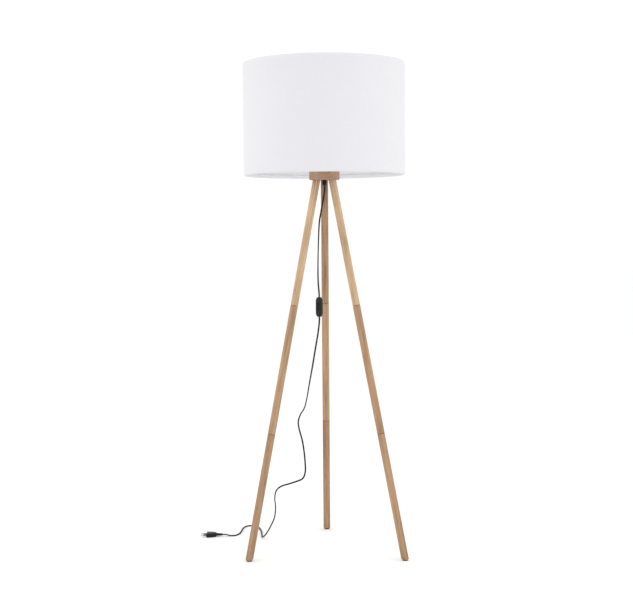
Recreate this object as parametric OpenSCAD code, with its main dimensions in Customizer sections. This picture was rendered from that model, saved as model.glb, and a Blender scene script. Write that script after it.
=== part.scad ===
// Tripod floor lamp: three round wooden legs, each screwed together from three sections,
// a turned wooden top disc, a drum shade on a three-arm carrier, an E27 lampholder,
// and a flat two-core cord with a rocker switch and a two-pin plug. Millimetres, +Z up.
// The origin is on the floor, on the upright axis of the lamp. The rear leg points to +Y.

/* [Legs] */
// Diameter of the round legs
leg_d = 23; // [18:0.5:30]
// Length of an upper leg section, to the face that seats in the disc
upper_len = 400; // [250:5:500]
// Length of a middle leg section
middle_len = 400; // [250:5:500]
// Length of a lower leg section, along its axis, to the mitred foot
lower_len = 388; // [250:1:500]
// Lean of each leg from the upright, in degrees
leg_lean = 12; // [8:0.5:16]
// Bevel round the ends of the sections
leg_bevel = 1; // [0.5:0.1:2]
// Height of the glide under each foot
glide_h = 3; // [2:0.5:6]
// Width of the bevel round the mitred foot
foot_bevel = 2.4; // [1:0.2:4]

/* [Top disc] */
// Diameter of the top disc
disc_d = 94; // [90:1:140]
// Thickness of the top disc
disc_t = 26; // [24:1:40]
// Radius of the circle on which the legs meet the underside of the disc
leg_circle_r = 28; // [24:0.5:31]
// Depth to which a leg seats in its pocket, along the leg
seat_depth = 4; // [3:0.5:6]
// Bevel round the edges of the disc
disc_bevel = 1.5; // [0.5:0.5:4]

/* [Screwed joints] */
// Diameter of the steel studs between the sections
stud_d = 8; // [6:1:10]
// Length of a stud that joins two sections
stud_len = 50; // [30:2:70]
// Outer diameter of the brass inserts that take the studs
insert_d = 12; // [10:0.5:14]
// Length of the inserts in the leg sections
insert_len = 18; // [10:1:24]
// Length of the inserts in the top disc
disc_insert_len = 15; // [10:1:16]

/* [Shade] */
// Outer diameter of the drum shade
shade_d = 500; // [350:5:600]
// Height of the drum shade
shade_h = 342; // [200:1:450]
// Thickness of the fabric
skin_t = 0.6; // [0.5:0.1:1.5]
// Thickness of the stiff liner behind the fabric
liner_t = 0.5; // [0.4:0.1:1.5]
// Thickness of the wire of the two shade rings
ring_wire_d = 4; // [3:0.5:6]
// Thickness of the carrier's arms
arm_d = 3.4; // [3:0.2:5]
// Height of the fitter plate above the bottom ring
carrier_rise = 42; // [20:1:60]
// Width of the tape turned in over each ring
hem_h = 11; // [8:1:20]

/* [Lampholder] */
// Outer radius of the threaded sleeve that takes the shade ring
sleeve_r = 19.8; // [18:0.1:24]
// Radius inside the screw shell
socket_r = 13.3; // [13.2:0.05:13.6]
// Length of the screw shell's bore
socket_len = 20; // [16:1:24]
// Height of the base cup
cup_h = 22; // [18:1:30]

/* [Cord and gland] */
// Diameter of the cord
cord_d = 5.2; // [4:0.1:7]
// Diameter of the threaded tube through the disc
tube_d = 10; // [8:0.5:12]
// Diameter of the cord gland
gland_d = 12.5; // [12:0.5:20]
// Height of the cord gland below the disc
gland_h = 16; // [12:1:24]

/* [Switch] */
// Length of the switch housing
switch_len = 62; // [58:1:76]
// Width of the switch housing
switch_w = 20; // [18:0.5:26]
// Thickness of the switch housing
switch_t = 14; // [13:0.5:18]
// Angle between the rocker's two latched ends, in degrees
rocker_throw = 16; // [10:1:18]

/* [Plug] */
// Length of the plug's body
plug_len = 33; // [28:1:40]
// Width of the plug at its face
plug_w = 35; // [30:1:38]
// Thickness of the plug
plug_t = 13.6; // [12:0.2:16]
// Distance between the plug's pins
pin_pitch = 18.6; // [17:0.1:20]

/* [Hidden] */
$fn = 64;
eps = 0.5;
// Radial room in a drilled hole, round a leg in its pocket, and between thin stacked layers
bore_gap = 0.05;
pocket_gap = 0.15;
layer_gap = 0.1;

// Places along a leg, from the floor upwards
foot_s = glide_h / cos(leg_lean);
low_joint_s = foot_s + lower_len;
high_joint_s = low_joint_s + middle_len;
leg_top_s = high_joint_s + upper_len;
disc_z = (leg_top_s - seat_depth) * cos(leg_lean);
foot_r = leg_circle_r + disc_z * tan(leg_lean);
azimuths = [90, 210, 330];
disc_top_z = disc_z + disc_t;

// Studs, inserts and the holes that take them
stud_bevel = 0.8;
stud_seat = stud_len / 2;
drill_d = stud_d + 0.6;
stud_past = 1;
disc_stud_in = disc_insert_len + stud_past;
glide_taper = 0.6;
glide_r = leg_d / 2 - foot_bevel - glide_taper;

// Threaded tube, nut, washer and gland
tube_wall = 1.2;
tube_bore_d = tube_d - 2 * tube_wall;
gland_grip = gland_h / 2;
washer_d = 24;
washer_t = 1.5;
nut_t = 4;
nut_af = tube_d + 4;
gland_bevel = 1;
clamp_d = 4;
clamp_bevel = 0.4;
clamp_turn = 60;
clamp_slot_w = 0.8;
clamp_slot_h = 0.8;
sheath_past = 3;

// Lampholder, from the top of the nut
holder_z = disc_top_z + washer_t + nut_t;
cup_floor = 8;
cup_wall = 2;
cup_foot_inset = 4;
cup_foot_h = 5;
cup_lip = 1.2;
flange_t = 4;
flange_r = sleeve_r + 3.2;
insulator_r = 16.2;
insulator_z = holder_z + cup_h + 2;
insulator_t = 8;
shell_z = insulator_z + insulator_t + layer_gap;
shell_t = 0.5;
shell_flange_t = 0.8;
shell_flange_w = 1.8;
sleeve_z = holder_z + cup_h + layer_gap;
sleeve_top_z = shell_z + socket_len + 2;
sleeve_bevel = 1;
sleeve_bore_bevel = 0.6;
fitter_seat_z = sleeve_z + flange_t;
tube_top_z = holder_z + cup_floor;
contact_pocket = 3;
pocket_r = 9;
contact_size = [5, 14, 0.5];
button_top_d = 3.6;
terminal_x = 8;
terminal_d = 3;
terminal_in = 3;
terminal_len = 4.6;
terminal_head_d = 5;
terminal_head_h = 2.1;
terminal_under_z = insulator_z - 2.2;
core_d = 1.8;
core_x = 1.3;

// Shade and its carrier
fitter_t = 2;
fitter_r = sleeve_r + 6.2;
ring_flange_r = fitter_r - 0.6;
ring_flange_t = 2.4;
ring_wall = 3.6;
ring_h = 9;
fitter_room = 0.4;
slit_room = 0.2;
fitter_z = fitter_seat_z + layer_gap;
hem_t = 0.6;
shade_r = shade_d / 2;
liner_r = shade_r - skin_t - layer_gap;
wire_r = ring_wire_d / 2;
ring_r = liner_r - liner_t - layer_gap - wire_r;
ring_rise = hem_t + layer_gap + wire_r;
shade_z = fitter_z + fitter_t / 2 - carrier_rise - ring_rise;
shade_top_z = shade_z + shade_h;
hem_r = ring_r - wire_r - layer_gap - hem_t;

// Switch: turned so that its rocker faces forwards and to the left
switch_pos = [-19, 24, 765];
switch_turn = -38;
switch_end_w = 10;
switch_end_t = 9;
switch_shoulder = 13;
switch_nose = 4;
switch_bulge = 0.8;
cavity_w = switch_w - 5.5;
cavity_t = switch_t - 4.4;
cavity_len = switch_len - 24;
window_w = 10.4;
window_len = 25;
pivot_y = 4.4 - switch_t / 2;
pivot_r = 1.2;
pivot_gap = 0.08;
pivot_len = cavity_w + 2.5;
pivot_end_gap = 0.2;
rocker_w = window_w - 0.6;
rocker_end_y = -1.4 - switch_t / 2;
rocker_dip_y = 0.4 - switch_t / 2;
rocker_half = window_len / 2 - 1.6;
rocker_edge = 2.4;
rocker_back_half = 3;
leaf_t = 0.6;
leaf_w = 4;
leaf_past = 2;
leaf_y = 0.4;
leaf_room = 1;
rocker_back_y = leaf_y - leaf_room;
terminal_block = 6;
terminal_z = cavity_len / 2 - 5;
screw_x = 5.6;
screw_z = switch_len / 2 - 9;
screw_d = 2.2;
screw_tip_y = -3.5;
screw_head_d = 4.2;
screw_head_h = 1.8;
well_d = 4.4;
well_depth = 3.4;

// Plug, lying flat on the floor, pins to -X
plug_pos = [-344, 176, 7];
sleeve_len = 20;
pin_r = 2;
pin_len = 19;
pin_bevel = 0.7;
pin_root_r = 1.6;
pin_root = 8;
sleeve_start_wall = 0.8;
sleeve_end_wall = 2.5;
plug_neck = 6.5;
plug_shoulder = 4;
plug_land = 3;

// Route of the cord: straight down out of the gland to the switch, then down to the floor,
// round behind the left foot and on to the plug
upper_route = [
    [0, 0, 1145], [0, 0, 1130], [-2, 1, 1114], [-7, 2, 1086], [-12, 3, 1058], [-17, 4, 1028],
    [-20, 8, 970], [-22, 12, 900], [-22, 17, 850], [-20, 22, 818], [-19, 24, 804],
    [-19, 24, 796.2]
];
lower_route = [
    [-19, 24, 733.8], [-19, 24, 724], [-20, 26, 710], [-24, 31, 680], [-32, 37, 634], [-42, 44, 576],
    [-52, 51, 522], [-61, 57, 472], [-69, 62, 441], [-82, 66, 419], [-89, 68, 396],
    [-86, 72, 370], [-77, 78, 334], [-71, 84, 292], [-68, 90, 250], [-69, 94, 226],
    [-77, 97, 207], [-95, 99, 198], [-122, 101, 189], [-147, 102, 181], [-163, 104, 166],
    [-168, 106, 142], [-166, 111, 110], [-170, 117, 76], [-183, 124, 46], [-200, 134, 16],
    [-212, 154, 4], [-216, 200, 3], [-221, 246, 3], [-229, 284, 3], [-240, 306, 3],
    [-256, 317, 3], [-273, 310, 3], [-283, 282, 3], [-286, 240, 3], [-291, 204, 3],
    [-303, 181, 3], [-319, 175, 4], [-334, 176, 7], [-343.8, 176, 7]
];

// Puts its children on a leg's axis, s up from the floor, with +Z up along the leg
module on_leg(azimuth, s) {
    rotate([0, 0, azimuth]) translate([foot_r, 0, 0]) rotate([0, -leg_lean, 0])
        translate([0, 0, s]) children();
}

// A round bar with bevelled ends, standing on z = 0
module bar(d, len, bevel) {
    r = d / 2;
    rotate_extrude() polygon([
        [0, 0], [r - bevel, 0], [r, bevel], [r, len - bevel], [r - bevel, len], [0, len]
    ]);
}

// A tube standing on z = 0
module tube(outer_d, inner_d, len) {
    difference() {
        cylinder(d = outer_d, h = len);
        translate([0, 0, -eps]) cylinder(d = inner_d, h = len + 2 * eps);
    }
}

// The glued hole for a stud, drilled up into the lower end of a section
module glued_hole(depth) {
    translate([0, 0, -eps]) cylinder(d = stud_d + 2 * bore_gap, h = depth + 1 + eps);
}

// The stepped hole for an insert and its stud, drilled down into the upper end of a section
module insert_hole(len) {
    translate([0, 0, len - insert_len - layer_gap])
        cylinder(d = insert_d + 2 * bore_gap, h = insert_len + layer_gap + eps);
    translate([0, 0, len - stud_seat - 1]) cylinder(d = drill_d, h = stud_seat);
}

module upper_section() {
    color("#c79f78") difference() {
        bar(leg_d, upper_len, leg_bevel);
        glued_hole(stud_seat);
        translate([0, 0, upper_len - stud_seat]) cylinder(d = stud_d + 2 * bore_gap, h = stud_seat + eps);
    }
}

module middle_section() {
    color("#b88f69") difference() {
        bar(leg_d, middle_len, leg_bevel);
        glued_hole(stud_seat);
        insert_hole(middle_len);
    }
}

// The lower section is mitred level with the floor, and the foot's edge is bevelled
module lower_section(azimuth) {
    r = leg_d / 2;
    centre_r = foot_r - foot_s * sin(leg_lean);
    color("#aa825e") intersection() {
        on_leg(azimuth, foot_s - r) difference() {
            bar(leg_d, lower_len + r, leg_bevel);
            insert_hole(lower_len + r);
        }
        rotate([0, 0, azimuth]) translate([centre_r, 0, glide_h]) {
            cylinder(r1 = r - foot_bevel, r2 = r + foot_bevel, h = 2 * foot_bevel);
            translate([0, 0, 2 * foot_bevel - bore_gap]) translate([-foot_r - r, -2 * r, 0])
                cube([foot_r + 4 * r, 4 * r, disc_z]);
        }
    }
}

module left_leg_upper() { on_leg(azimuths[1], high_joint_s) upper_section(); }
module left_leg_middle() { on_leg(azimuths[1], low_joint_s) middle_section(); }
module left_leg_lower() { lower_section(azimuths[1]); }
module right_leg_upper() { on_leg(azimuths[2], high_joint_s) upper_section(); }
module right_leg_middle() { on_leg(azimuths[2], low_joint_s) middle_section(); }
module right_leg_lower() { lower_section(azimuths[2]); }
module rear_leg_upper() { on_leg(azimuths[0], high_joint_s) upper_section(); }
module rear_leg_middle() { on_leg(azimuths[0], low_joint_s) middle_section(); }
module rear_leg_lower() { lower_section(azimuths[0]); }

// One thin pad under each foot: the face that the lamp stands on
module foot_glides() {
    color("#3a332e") for (azimuth = azimuths)
        rotate([0, 0, azimuth]) translate([foot_r - foot_s * sin(leg_lean), 0, 0])
            cylinder(r1 = glide_r - glide_taper, r2 = glide_r, h = glide_h);
}

// Studs across a joint of all three legs
module joint_studs(s) {
    color("#9b9da1") for (azimuth = azimuths)
        on_leg(azimuth, s - stud_seat) bar(stud_d, stud_len, stud_bevel);
}

// Inserts in the upper ends of the three sections that end at s
module joint_inserts(s) {
    color("#b7984d") for (azimuth = azimuths)
        on_leg(azimuth, s - insert_len - layer_gap) tube(insert_d, stud_d + 2 * bore_gap, insert_len);
}

module high_joint_studs() { joint_studs(high_joint_s); }
module low_joint_studs() { joint_studs(low_joint_s); }
module high_joint_inserts() { joint_inserts(high_joint_s); }
module low_joint_inserts() { joint_inserts(low_joint_s); }

module disc_studs() {
    color("#9b9da1") for (azimuth = azimuths)
        on_leg(azimuth, leg_top_s - stud_seat + stud_past)
            bar(stud_d, stud_seat - stud_past + disc_stud_in, stud_bevel);
}

module disc_inserts() {
    color("#b7984d") for (azimuth = azimuths)
        on_leg(azimuth, leg_top_s + layer_gap) tube(insert_d, stud_d + 2 * bore_gap, disc_insert_len);
}

// The turned disc, with a pocket, an insert hole and a stud hole drilled along each leg
module top_disc() {
    color("#a98265") difference() {
        translate([0, 0, disc_z]) bar(disc_d, disc_t, disc_bevel);
        translate([0, 0, disc_z - eps]) cylinder(d = tube_d + 2 * layer_gap, h = disc_t + 2 * eps);
        for (azimuth = azimuths) {
            on_leg(azimuth, leg_top_s - leg_d) cylinder(d = leg_d + 2 * pocket_gap, h = leg_d);
            on_leg(azimuth, leg_top_s - eps)
                cylinder(d = insert_d + 2 * bore_gap, h = disc_insert_len + 2 * layer_gap + eps);
            on_leg(azimuth, leg_top_s) cylinder(d = drill_d, h = disc_stud_in + stud_past);
        }
    }
}

// The hollow threaded tube that clamps holder, disc and gland together and carries the cord
module threaded_tube() {
    color("#b8babd") translate([0, 0, disc_z - gland_grip])
        tube(tube_d, tube_bore_d, gland_grip + tube_top_z - disc_z);
}

module tube_washer() {
    color("#a5a7ab") translate([0, 0, disc_top_z]) tube(washer_d, tube_d + 4 * bore_gap, washer_t);
}

module tube_nut() {
    color("#a5a7ab") translate([0, 0, disc_top_z + washer_t]) difference() {
        cylinder(d = nut_af / cos(30), h = nut_t, $fn = 6);
        translate([0, 0, -eps]) cylinder(d = tube_d + 2 * bore_gap, h = nut_t + 2 * eps);
    }
}

// The gland screws up the tube to the underside of the disc and grips the cord below it
module cord_gland() {
    r = gland_d / 2;
    cord_hole_r = cord_d / 2 + 2 * pocket_gap;
    grip_r = tube_d / 2 + bore_gap;
    color("#17171a") translate([0, 0, disc_z - gland_h]) difference() {
        rotate_extrude() polygon([
            [cord_hole_r, 0], [r - gland_bevel, 0], [r, gland_bevel], [r, gland_h - layer_gap],
            [grip_r, gland_h - layer_gap], [grip_r, gland_h - gland_grip - layer_gap],
            [cord_hole_r, gland_h - gland_grip - layer_gap]
        ]);
        rotate([0, 0, clamp_turn]) translate([0, 0, gland_h / 4]) rotate([0, 90, 0])
            cylinder(d = clamp_d + 2 * bore_gap, h = gland_d);
    }
}

// The small plastic screw that clamps the cord in the gland
module gland_screw() {
    len = (gland_d - cord_d) / 2 + 1;
    color("#26262a") translate([0, 0, disc_z - gland_h * 3 / 4]) rotate([0, 90, clamp_turn])
        translate([0, 0, cord_d / 2 + layer_gap]) difference() {
            bar(clamp_d, len, clamp_bevel);
            translate([-clamp_d, -clamp_slot_w / 2, len - clamp_slot_h])
                cube([2 * clamp_d, clamp_slot_w, clamp_slot_h + eps]);
        }
}

// The sheathed cord inside the gland and the tube, up to the lampholder's cup
module inner_cord() {
    color("#1b1b1e") translate([0, 0, disc_z - gland_h])
        cylinder(d = cord_d, h = gland_h + tube_top_z + sheath_past - disc_z);
}

// The two cores from the end of the sheath to the terminals under the insulator
module core_wires() {
    from_z = tube_top_z + sheath_past + layer_gap + core_d / 2;
    rise = terminal_under_z - layer_gap - core_d / 2 - from_z;
    reach = terminal_x - core_d / 2 - core_x;
    color("#6b7c99") for (side = [-1, 1]) translate([side * core_x, 0, from_z])
        rotate([0, side * atan(reach / rise), 0]) cylinder(d = core_d, h = norm([reach, rise]));
}

module holder_base() {
    hole_r = tube_d / 2 + bore_gap;
    rim_r = sleeve_r + cup_lip;
    color("#1a1a1d") translate([0, 0, holder_z]) rotate_extrude() polygon([
        [hole_r, 0], [sleeve_r - cup_foot_inset, 0], [sleeve_r, cup_foot_h], [rim_r, cup_h],
        [rim_r - cup_wall, cup_h], [sleeve_r - cup_wall, cup_floor], [hole_r, cup_floor]
    ]);
}

// The sleeve: a flange that carries the shade's fitter and a barrel that the shade ring screws onto
module holder_sleeve() {
    step_z = shell_z + shell_flange_t + layer_gap;
    bore_r = socket_r + shell_t + 3 * layer_gap;
    color("#1a1a1d") rotate_extrude() polygon([
        [insulator_r + 2 * layer_gap, sleeve_z], [flange_r, sleeve_z], [flange_r, fitter_seat_z],
        [sleeve_r, fitter_seat_z], [sleeve_r, sleeve_top_z - sleeve_bevel],
        [sleeve_r - sleeve_bevel, sleeve_top_z], [bore_r + sleeve_bore_bevel, sleeve_top_z],
        [bore_r, sleeve_top_z - sleeve_bevel], [bore_r, step_z],
        [insulator_r + 2 * layer_gap, step_z]
    ]);
}

// The insulating block, with a pocket for the centre contact and two terminal holes
module socket_insulator() {
    color("#e6e2da") difference() {
        translate([0, 0, insulator_z]) cylinder(r = insulator_r, h = insulator_t);
        translate([0, 0, insulator_z + insulator_t - contact_pocket])
            cylinder(r = pocket_r, h = contact_pocket + eps);
        for (side = [-1, 1]) translate([side * terminal_x, 0, insulator_z - eps])
            cylinder(d = terminal_d + 2 * bore_gap, h = terminal_in + eps);
    }
}

module socket_shell() {
    rim_r = socket_r + shell_flange_w;
    color("#c9a24e") rotate_extrude() polygon([
        [socket_r, shell_z], [rim_r, shell_z], [rim_r, shell_z + shell_flange_t],
        [socket_r + shell_t, shell_z + shell_flange_t], [socket_r + shell_t, shell_z + socket_len],
        [socket_r, shell_z + socket_len]
    ]);
}

// The springy tongue with a raised button, in the insulator's pocket
module centre_contact() {
    color("#c9a24e") translate([0, 0, insulator_z + insulator_t - contact_pocket + layer_gap]) {
        translate([-contact_size[0] / 2, -contact_size[1] / 2, 0]) cube(contact_size);
        cylinder(d1 = contact_size[0], d2 = button_top_d, h = contact_pocket - 2 * layer_gap);
    }
}

module holder_terminals() {
    color("#b7984d") for (side = [-1, 1]) translate([side * terminal_x, 0, terminal_under_z]) {
        cylinder(d = terminal_head_d, h = terminal_head_h);
        cylinder(d = terminal_d, h = terminal_len);
    }
}

// The flanged ring that screws down the sleeve and clamps the shade's fitter
module shade_ring() {
    base_z = fitter_z + fitter_t + layer_gap;
    bore_r = sleeve_r + layer_gap;
    grip_r = sleeve_r + ring_wall;
    step_z = base_z + ring_flange_t;
    top_z = base_z + ring_h;
    color("#1a1a1d") rotate_extrude() polygon([
        [bore_r, base_z], [ring_flange_r, base_z], [ring_flange_r, step_z],
        [grip_r, step_z], [grip_r, top_z], [bore_r, top_z]
    ]);
}

module fitter_ring() {
    color("#f1f1f0") translate([0, 0, fitter_z]) tube(2 * fitter_r, 2 * (sleeve_r + fitter_room), fitter_t);
}

// One straight arm from the fitter down and out to the bottom wire, grown by extra all round
module carrier_arm(extra) {
    inner_r = fitter_r + arm_d / 2 * sin(atan(carrier_rise / ring_r)) + layer_gap;
    outer_r = ring_r - wire_r - arm_d / 2 * sin(atan(carrier_rise / ring_r)) - layer_gap;
    drop = carrier_rise * (outer_r - inner_r) / (ring_r - inner_r);
    translate([inner_r, 0, fitter_z + fitter_t / 2]) rotate([0, 90 + atan(drop / (outer_r - inner_r)), 0])
        cylinder(d = arm_d + 2 * extra, h = norm([outer_r - inner_r, drop]) + extra);
}

module carrier_arms() {
    color("#f1f1f0") for (azimuth = azimuths) rotate([0, 0, azimuth]) carrier_arm(0);
}

module shade_skin() {
    color("#f4f3f6") translate([0, 0, shade_z]) tube(shade_d, shade_d - 2 * skin_t, shade_h, $fn = 96);
}

module shade_liner() {
    inset = hem_t + layer_gap;
    color("#f7f7f7") translate([0, 0, shade_z + inset])
        tube(2 * liner_r, 2 * (liner_r - liner_t), shade_h - 2 * inset, $fn = 96);
}

// A round wire ring, z up
module wire_ring(z) {
    color("#f1f1f0") translate([0, 0, z]) rotate_extrude($fn = 96)
        translate([ring_r, 0]) circle(r = wire_r, $fn = 24);
}

module bottom_wire() { wire_ring(shade_z + ring_rise); }
module top_wire() { wire_ring(shade_top_z - ring_rise); }

// The tape turned in over a ring: an edge under the fabric and a skirt behind the wire
module hem_profile() {
    skirt_r = hem_r + hem_t;
    rotate_extrude($fn = 96) polygon([
        [hem_r, 0], [liner_r, 0], [liner_r, hem_t], [skirt_r, hem_t], [skirt_r, hem_h], [hem_r, hem_h]
    ]);
}

// The bottom tape is slit where the three arms pass
module bottom_hem() {
    color("#f4f3f6") difference() {
        translate([0, 0, shade_z]) hem_profile();
        for (azimuth = azimuths) rotate([0, 0, azimuth]) carrier_arm(slit_room);
    }
}

module top_hem() {
    color("#f4f3f6") translate([0, 0, shade_top_z]) mirror([0, 0, 1]) hem_profile();
}

// A point on the smooth curve through the route, at t from 0 at point i to 1 at point i + 1
function route_end(p, i) = i < 0 ? 2 * p[0] - p[1]
    : i >= len(p) ? 2 * p[len(p) - 1] - p[len(p) - 2] : p[i];
function curve_at(p, i, t) = let (a = route_end(p, i - 1), b = p[i], c = route_end(p, i + 1),
    d = route_end(p, i + 2)) (2 * b + (c - a) * t + (2 * a - 5 * b + 4 * c - d) * t * t
    + (3 * b - a - 3 * c + d) * t * t * t) / 2;
function curve_points(p, steps) = concat(
    [for (i = [0 : len(p) - 2], k = [0 : steps - 1]) curve_at(p, i, k / steps)], [p[len(p) - 1]]);
function unit(v) = v / norm(v);
function tangent(q, i) = i == 0 ? unit(q[1] - q[0])
    : i == len(q) - 1 ? unit(q[i] - q[i - 1]) : unit(q[i + 1] - q[i - 1]);
// The side direction of each ring, carried along the curve without twist
function carried(q, i, side) = unit(side - (side * tangent(q, i)) * tangent(q, i));
function sides(q, i, side) = i == len(q) ? []
    : let (here = carried(q, i, side)) concat([here], sides(q, i + 1, here));

// A closed round tube along the curve q, starting from the side direction given
module swept_tube(q, side, d, count) {
    n = len(q);
    across = sides(q, 0, side);
    rings = [for (i = [0 : n - 1], k = [0 : count - 1]) q[i] + d / 2
        * (cos(360 * k / count) * across[i] + sin(360 * k / count) * cross(tangent(q, i), across[i]))];
    walls = [for (i = [0 : n - 2], k = [0 : count - 1]) let (m = (k + 1) % count)
        [i * count + k, (i + 1) * count + k, (i + 1) * count + m, i * count + m]];
    start = [for (k = [0 : count - 1]) k];
    end = [for (k = [count - 1 : -1 : 0]) (n - 1) * count + k];
    polyhedron(points = rings, faces = concat(walls, [start, end]), convexity = 6);
}

module cord_upper() {
    color("#1b1b1e") swept_tube(curve_points(upper_route, 1), [1, 0, 0], cord_d, 10);
}

module cord_lower() {
    color("#1b1b1e") swept_tube(curve_points(lower_route, 2), [1, 0, 0], cord_d, 8);
}

// Puts its children in the switch's own frame: length on Z, rocker towards -Y
module in_switch() {
    translate(switch_pos) rotate([0, 0, switch_turn]) children();
}

// The outline of half a housing seen square on, as half-widths from the middle to the end
function tapered(len, mid, end) = let (h = len / 2) [
    [-mid, 0], [-mid, h - switch_shoulder], [-(mid + end) / 2 - switch_bulge, h - switch_nose], [-end, h],
    [end, h], [(mid + end) / 2 + switch_bulge, h - switch_nose], [mid, h - switch_shoulder], [mid, 0]
];
function closed_outline(top) = concat(top, [for (i = [len(top) - 1 : -1 : 0]) if (top[i][1] > 0)
    [top[i][0], -top[i][1]]]);

module switch_form() {
    intersection() {
        translate([0, switch_t, 0]) rotate([90, 0, 0]) linear_extrude(2 * switch_t)
            polygon(closed_outline(tapered(switch_len, switch_w / 2, switch_end_w / 2)));
        translate([-switch_w, 0, 0]) rotate([90, 0, 90]) linear_extrude(2 * switch_w)
            polygon(closed_outline(tapered(switch_len, switch_t / 2, switch_end_t / 2)));
    }
}

// What is cut from both halves: the cavity, the cord's two passages and the screw holes
module switch_cuts() {
    translate([-cavity_w / 2, -cavity_t / 2, -cavity_len / 2]) cube([cavity_w, cavity_t, cavity_len]);
    cylinder(d = cord_d + 4 * layer_gap, h = switch_len + 2, center = true);
    for (side = [-1, 1]) translate([side * screw_x, 0, side * screw_z]) rotate([-90, 0, 0]) {
        translate([0, 0, screw_tip_y - eps]) cylinder(d = screw_d + 2 * bore_gap, h = switch_t);
        translate([0, 0, switch_t / 2 - well_depth]) cylinder(d = well_d, h = switch_t);
    }
}

module switch_front() {
    color("#1c1c1f") in_switch() difference() {
        switch_form();
        translate([-switch_w, 0, -switch_len]) cube([2 * switch_w, switch_w, 2 * switch_len]);
        switch_cuts();
        translate([-window_w / 2, -switch_t, -window_len / 2]) cube([window_w, switch_t, window_len]);
        translate([0, pivot_y, 0]) rotate([0, 90, 0])
            cylinder(r = pivot_r + pivot_gap, h = pivot_len + 2 * pivot_end_gap, center = true);
    }
}

module switch_back() {
    color("#1c1c1f") in_switch() difference() {
        switch_form();
        translate([-switch_w, -switch_w, -switch_len]) cube([2 * switch_w, switch_w, 2 * switch_len]);
        switch_cuts();
    }
}

// The rocker with its two pivots, at rest with its upper end out
module switch_rocker() {
    color("#27272b") in_switch() translate([0, pivot_y, 0]) rotate([rocker_throw / 2, 0, 0])
        translate([0, -pivot_y, 0]) {
            translate([-rocker_w / 2, 0, 0]) rotate([90, 0, 90]) linear_extrude(rocker_w) polygon([
                [rocker_end_y, -rocker_half + 0.3], [rocker_dip_y, 0], [rocker_end_y, rocker_half - 0.3],
                [pivot_y - rocker_edge, rocker_half + 0.5], [pivot_y - rocker_edge / 3, rocker_half],
                [rocker_back_y, rocker_back_half], [rocker_back_y, -rocker_back_half],
                [pivot_y - rocker_edge / 3, -rocker_half], [pivot_y - rocker_edge, -rocker_half - 0.5]
            ]);
            translate([0, pivot_y, 0]) rotate([0, 90, 0]) cylinder(r = pivot_r, h = pivot_len, center = true);
        }
}

module switch_leaf() {
    half = terminal_z + leaf_past;
    color("#c9a24e") in_switch() translate([-leaf_w / 2, leaf_y, -half])
        cube([leaf_w, leaf_t, 2 * half]);
}

module switch_terminals() {
    y = leaf_y + leaf_t;
    half = terminal_block / 2;
    color("#b7984d") in_switch() for (side = [-1, 1]) translate([-half, y, side * terminal_z - half])
        cube([terminal_block, cavity_t / 2 - y, terminal_block]);
}

module switch_screws() {
    color("#9b9da1") in_switch() for (side = [-1, 1])
        translate([side * screw_x, 0, side * screw_z]) rotate([-90, 0, 0]) {
            translate([0, 0, screw_tip_y]) cylinder(d = screw_d, h = switch_t / 2 + 1);
            translate([0, 0, switch_t / 2 - well_depth + bore_gap])
                cylinder(d = screw_head_d, h = screw_head_h);
        }
}

// The ends of the two cords, inside the housing's passages
module switch_cord_ends() {
    stub = switch_len / 2 - cavity_len / 2 + 2;
    color("#1b1b1e") in_switch() for (side = [-1, 1])
        translate([0, 0, side * (switch_len - stub) / 2]) cylinder(d = cord_d, h = stub, center = true);
}

// Puts its children in the plug's own frame: cord end at the origin, pins towards +X
module in_plug() {
    translate(plug_pos) rotate([0, 0, 180]) children();
}

module plug_body() {
    half = plug_w / 2;
    color("#1c1c1f") in_plug() difference() {
        union() {
            rotate([0, 90, 0])
                cylinder(d1 = cord_d + 2 * sleeve_start_wall, d2 = cord_d + 2 * sleeve_end_wall,
                    h = sleeve_len + 1);
            translate([sleeve_len, 0, -plug_t / 2]) linear_extrude(plug_t) polygon([
                [0, -plug_neck], [plug_len / 3, -half + plug_shoulder], [plug_len - plug_land, -half],
                [plug_len, -half], [plug_len, half], [plug_len - plug_land, half],
                [plug_len / 3, half - plug_shoulder], [0, plug_neck]
            ]);
        }
        for (side = [-1, 1]) translate([sleeve_len + plug_len - pin_root, side * pin_pitch / 2, 0])
            rotate([0, 90, 0]) translate([0, 0, -layer_gap])
                cylinder(r = pin_root_r + bore_gap, h = pin_root + layer_gap + eps);
    }
}

// Two round pins, each with a thinner root in the body
module plug_pins() {
    color("#c4c6c9") in_plug() for (side = [-1, 1])
        translate([sleeve_len + plug_len, side * pin_pitch / 2, 0]) rotate([0, 90, 0])
            rotate_extrude() polygon([
                [0, -pin_root], [pin_root_r, -pin_root], [pin_root_r, 0], [pin_r, 0],
                [pin_r, pin_len - pin_bevel], [pin_r - pin_bevel, pin_len], [0, pin_len]
            ]);
}

top_disc();
disc_inserts();
disc_studs();
left_leg_upper();
left_leg_middle();
left_leg_lower();
right_leg_upper();
right_leg_middle();
right_leg_lower();
rear_leg_upper();
rear_leg_middle();
rear_leg_lower();
high_joint_studs();
low_joint_studs();
high_joint_inserts();
low_joint_inserts();
foot_glides();
threaded_tube();
tube_washer();
tube_nut();
cord_gland();
gland_screw();
inner_cord();
core_wires();
holder_base();
holder_sleeve();
socket_insulator();
socket_shell();
centre_contact();
holder_terminals();
shade_ring();
fitter_ring();
carrier_arms();
shade_skin();
shade_liner();
bottom_wire();
top_wire();
bottom_hem();
top_hem();
cord_upper();
cord_lower();
switch_front();
switch_back();
switch_rocker();
switch_leaf();
switch_terminals();
switch_screws();
switch_cord_ends();
plug_body();
plug_pins();
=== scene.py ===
"""Tripod floor lamp: the finished pieces and their materials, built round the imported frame."""

import logging
import math
from dataclasses import dataclass, field
from enum import Enum
from typing import Callable, Iterable, Sequence

import bmesh
import bpy
from mathutils import Matrix, Vector


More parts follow.
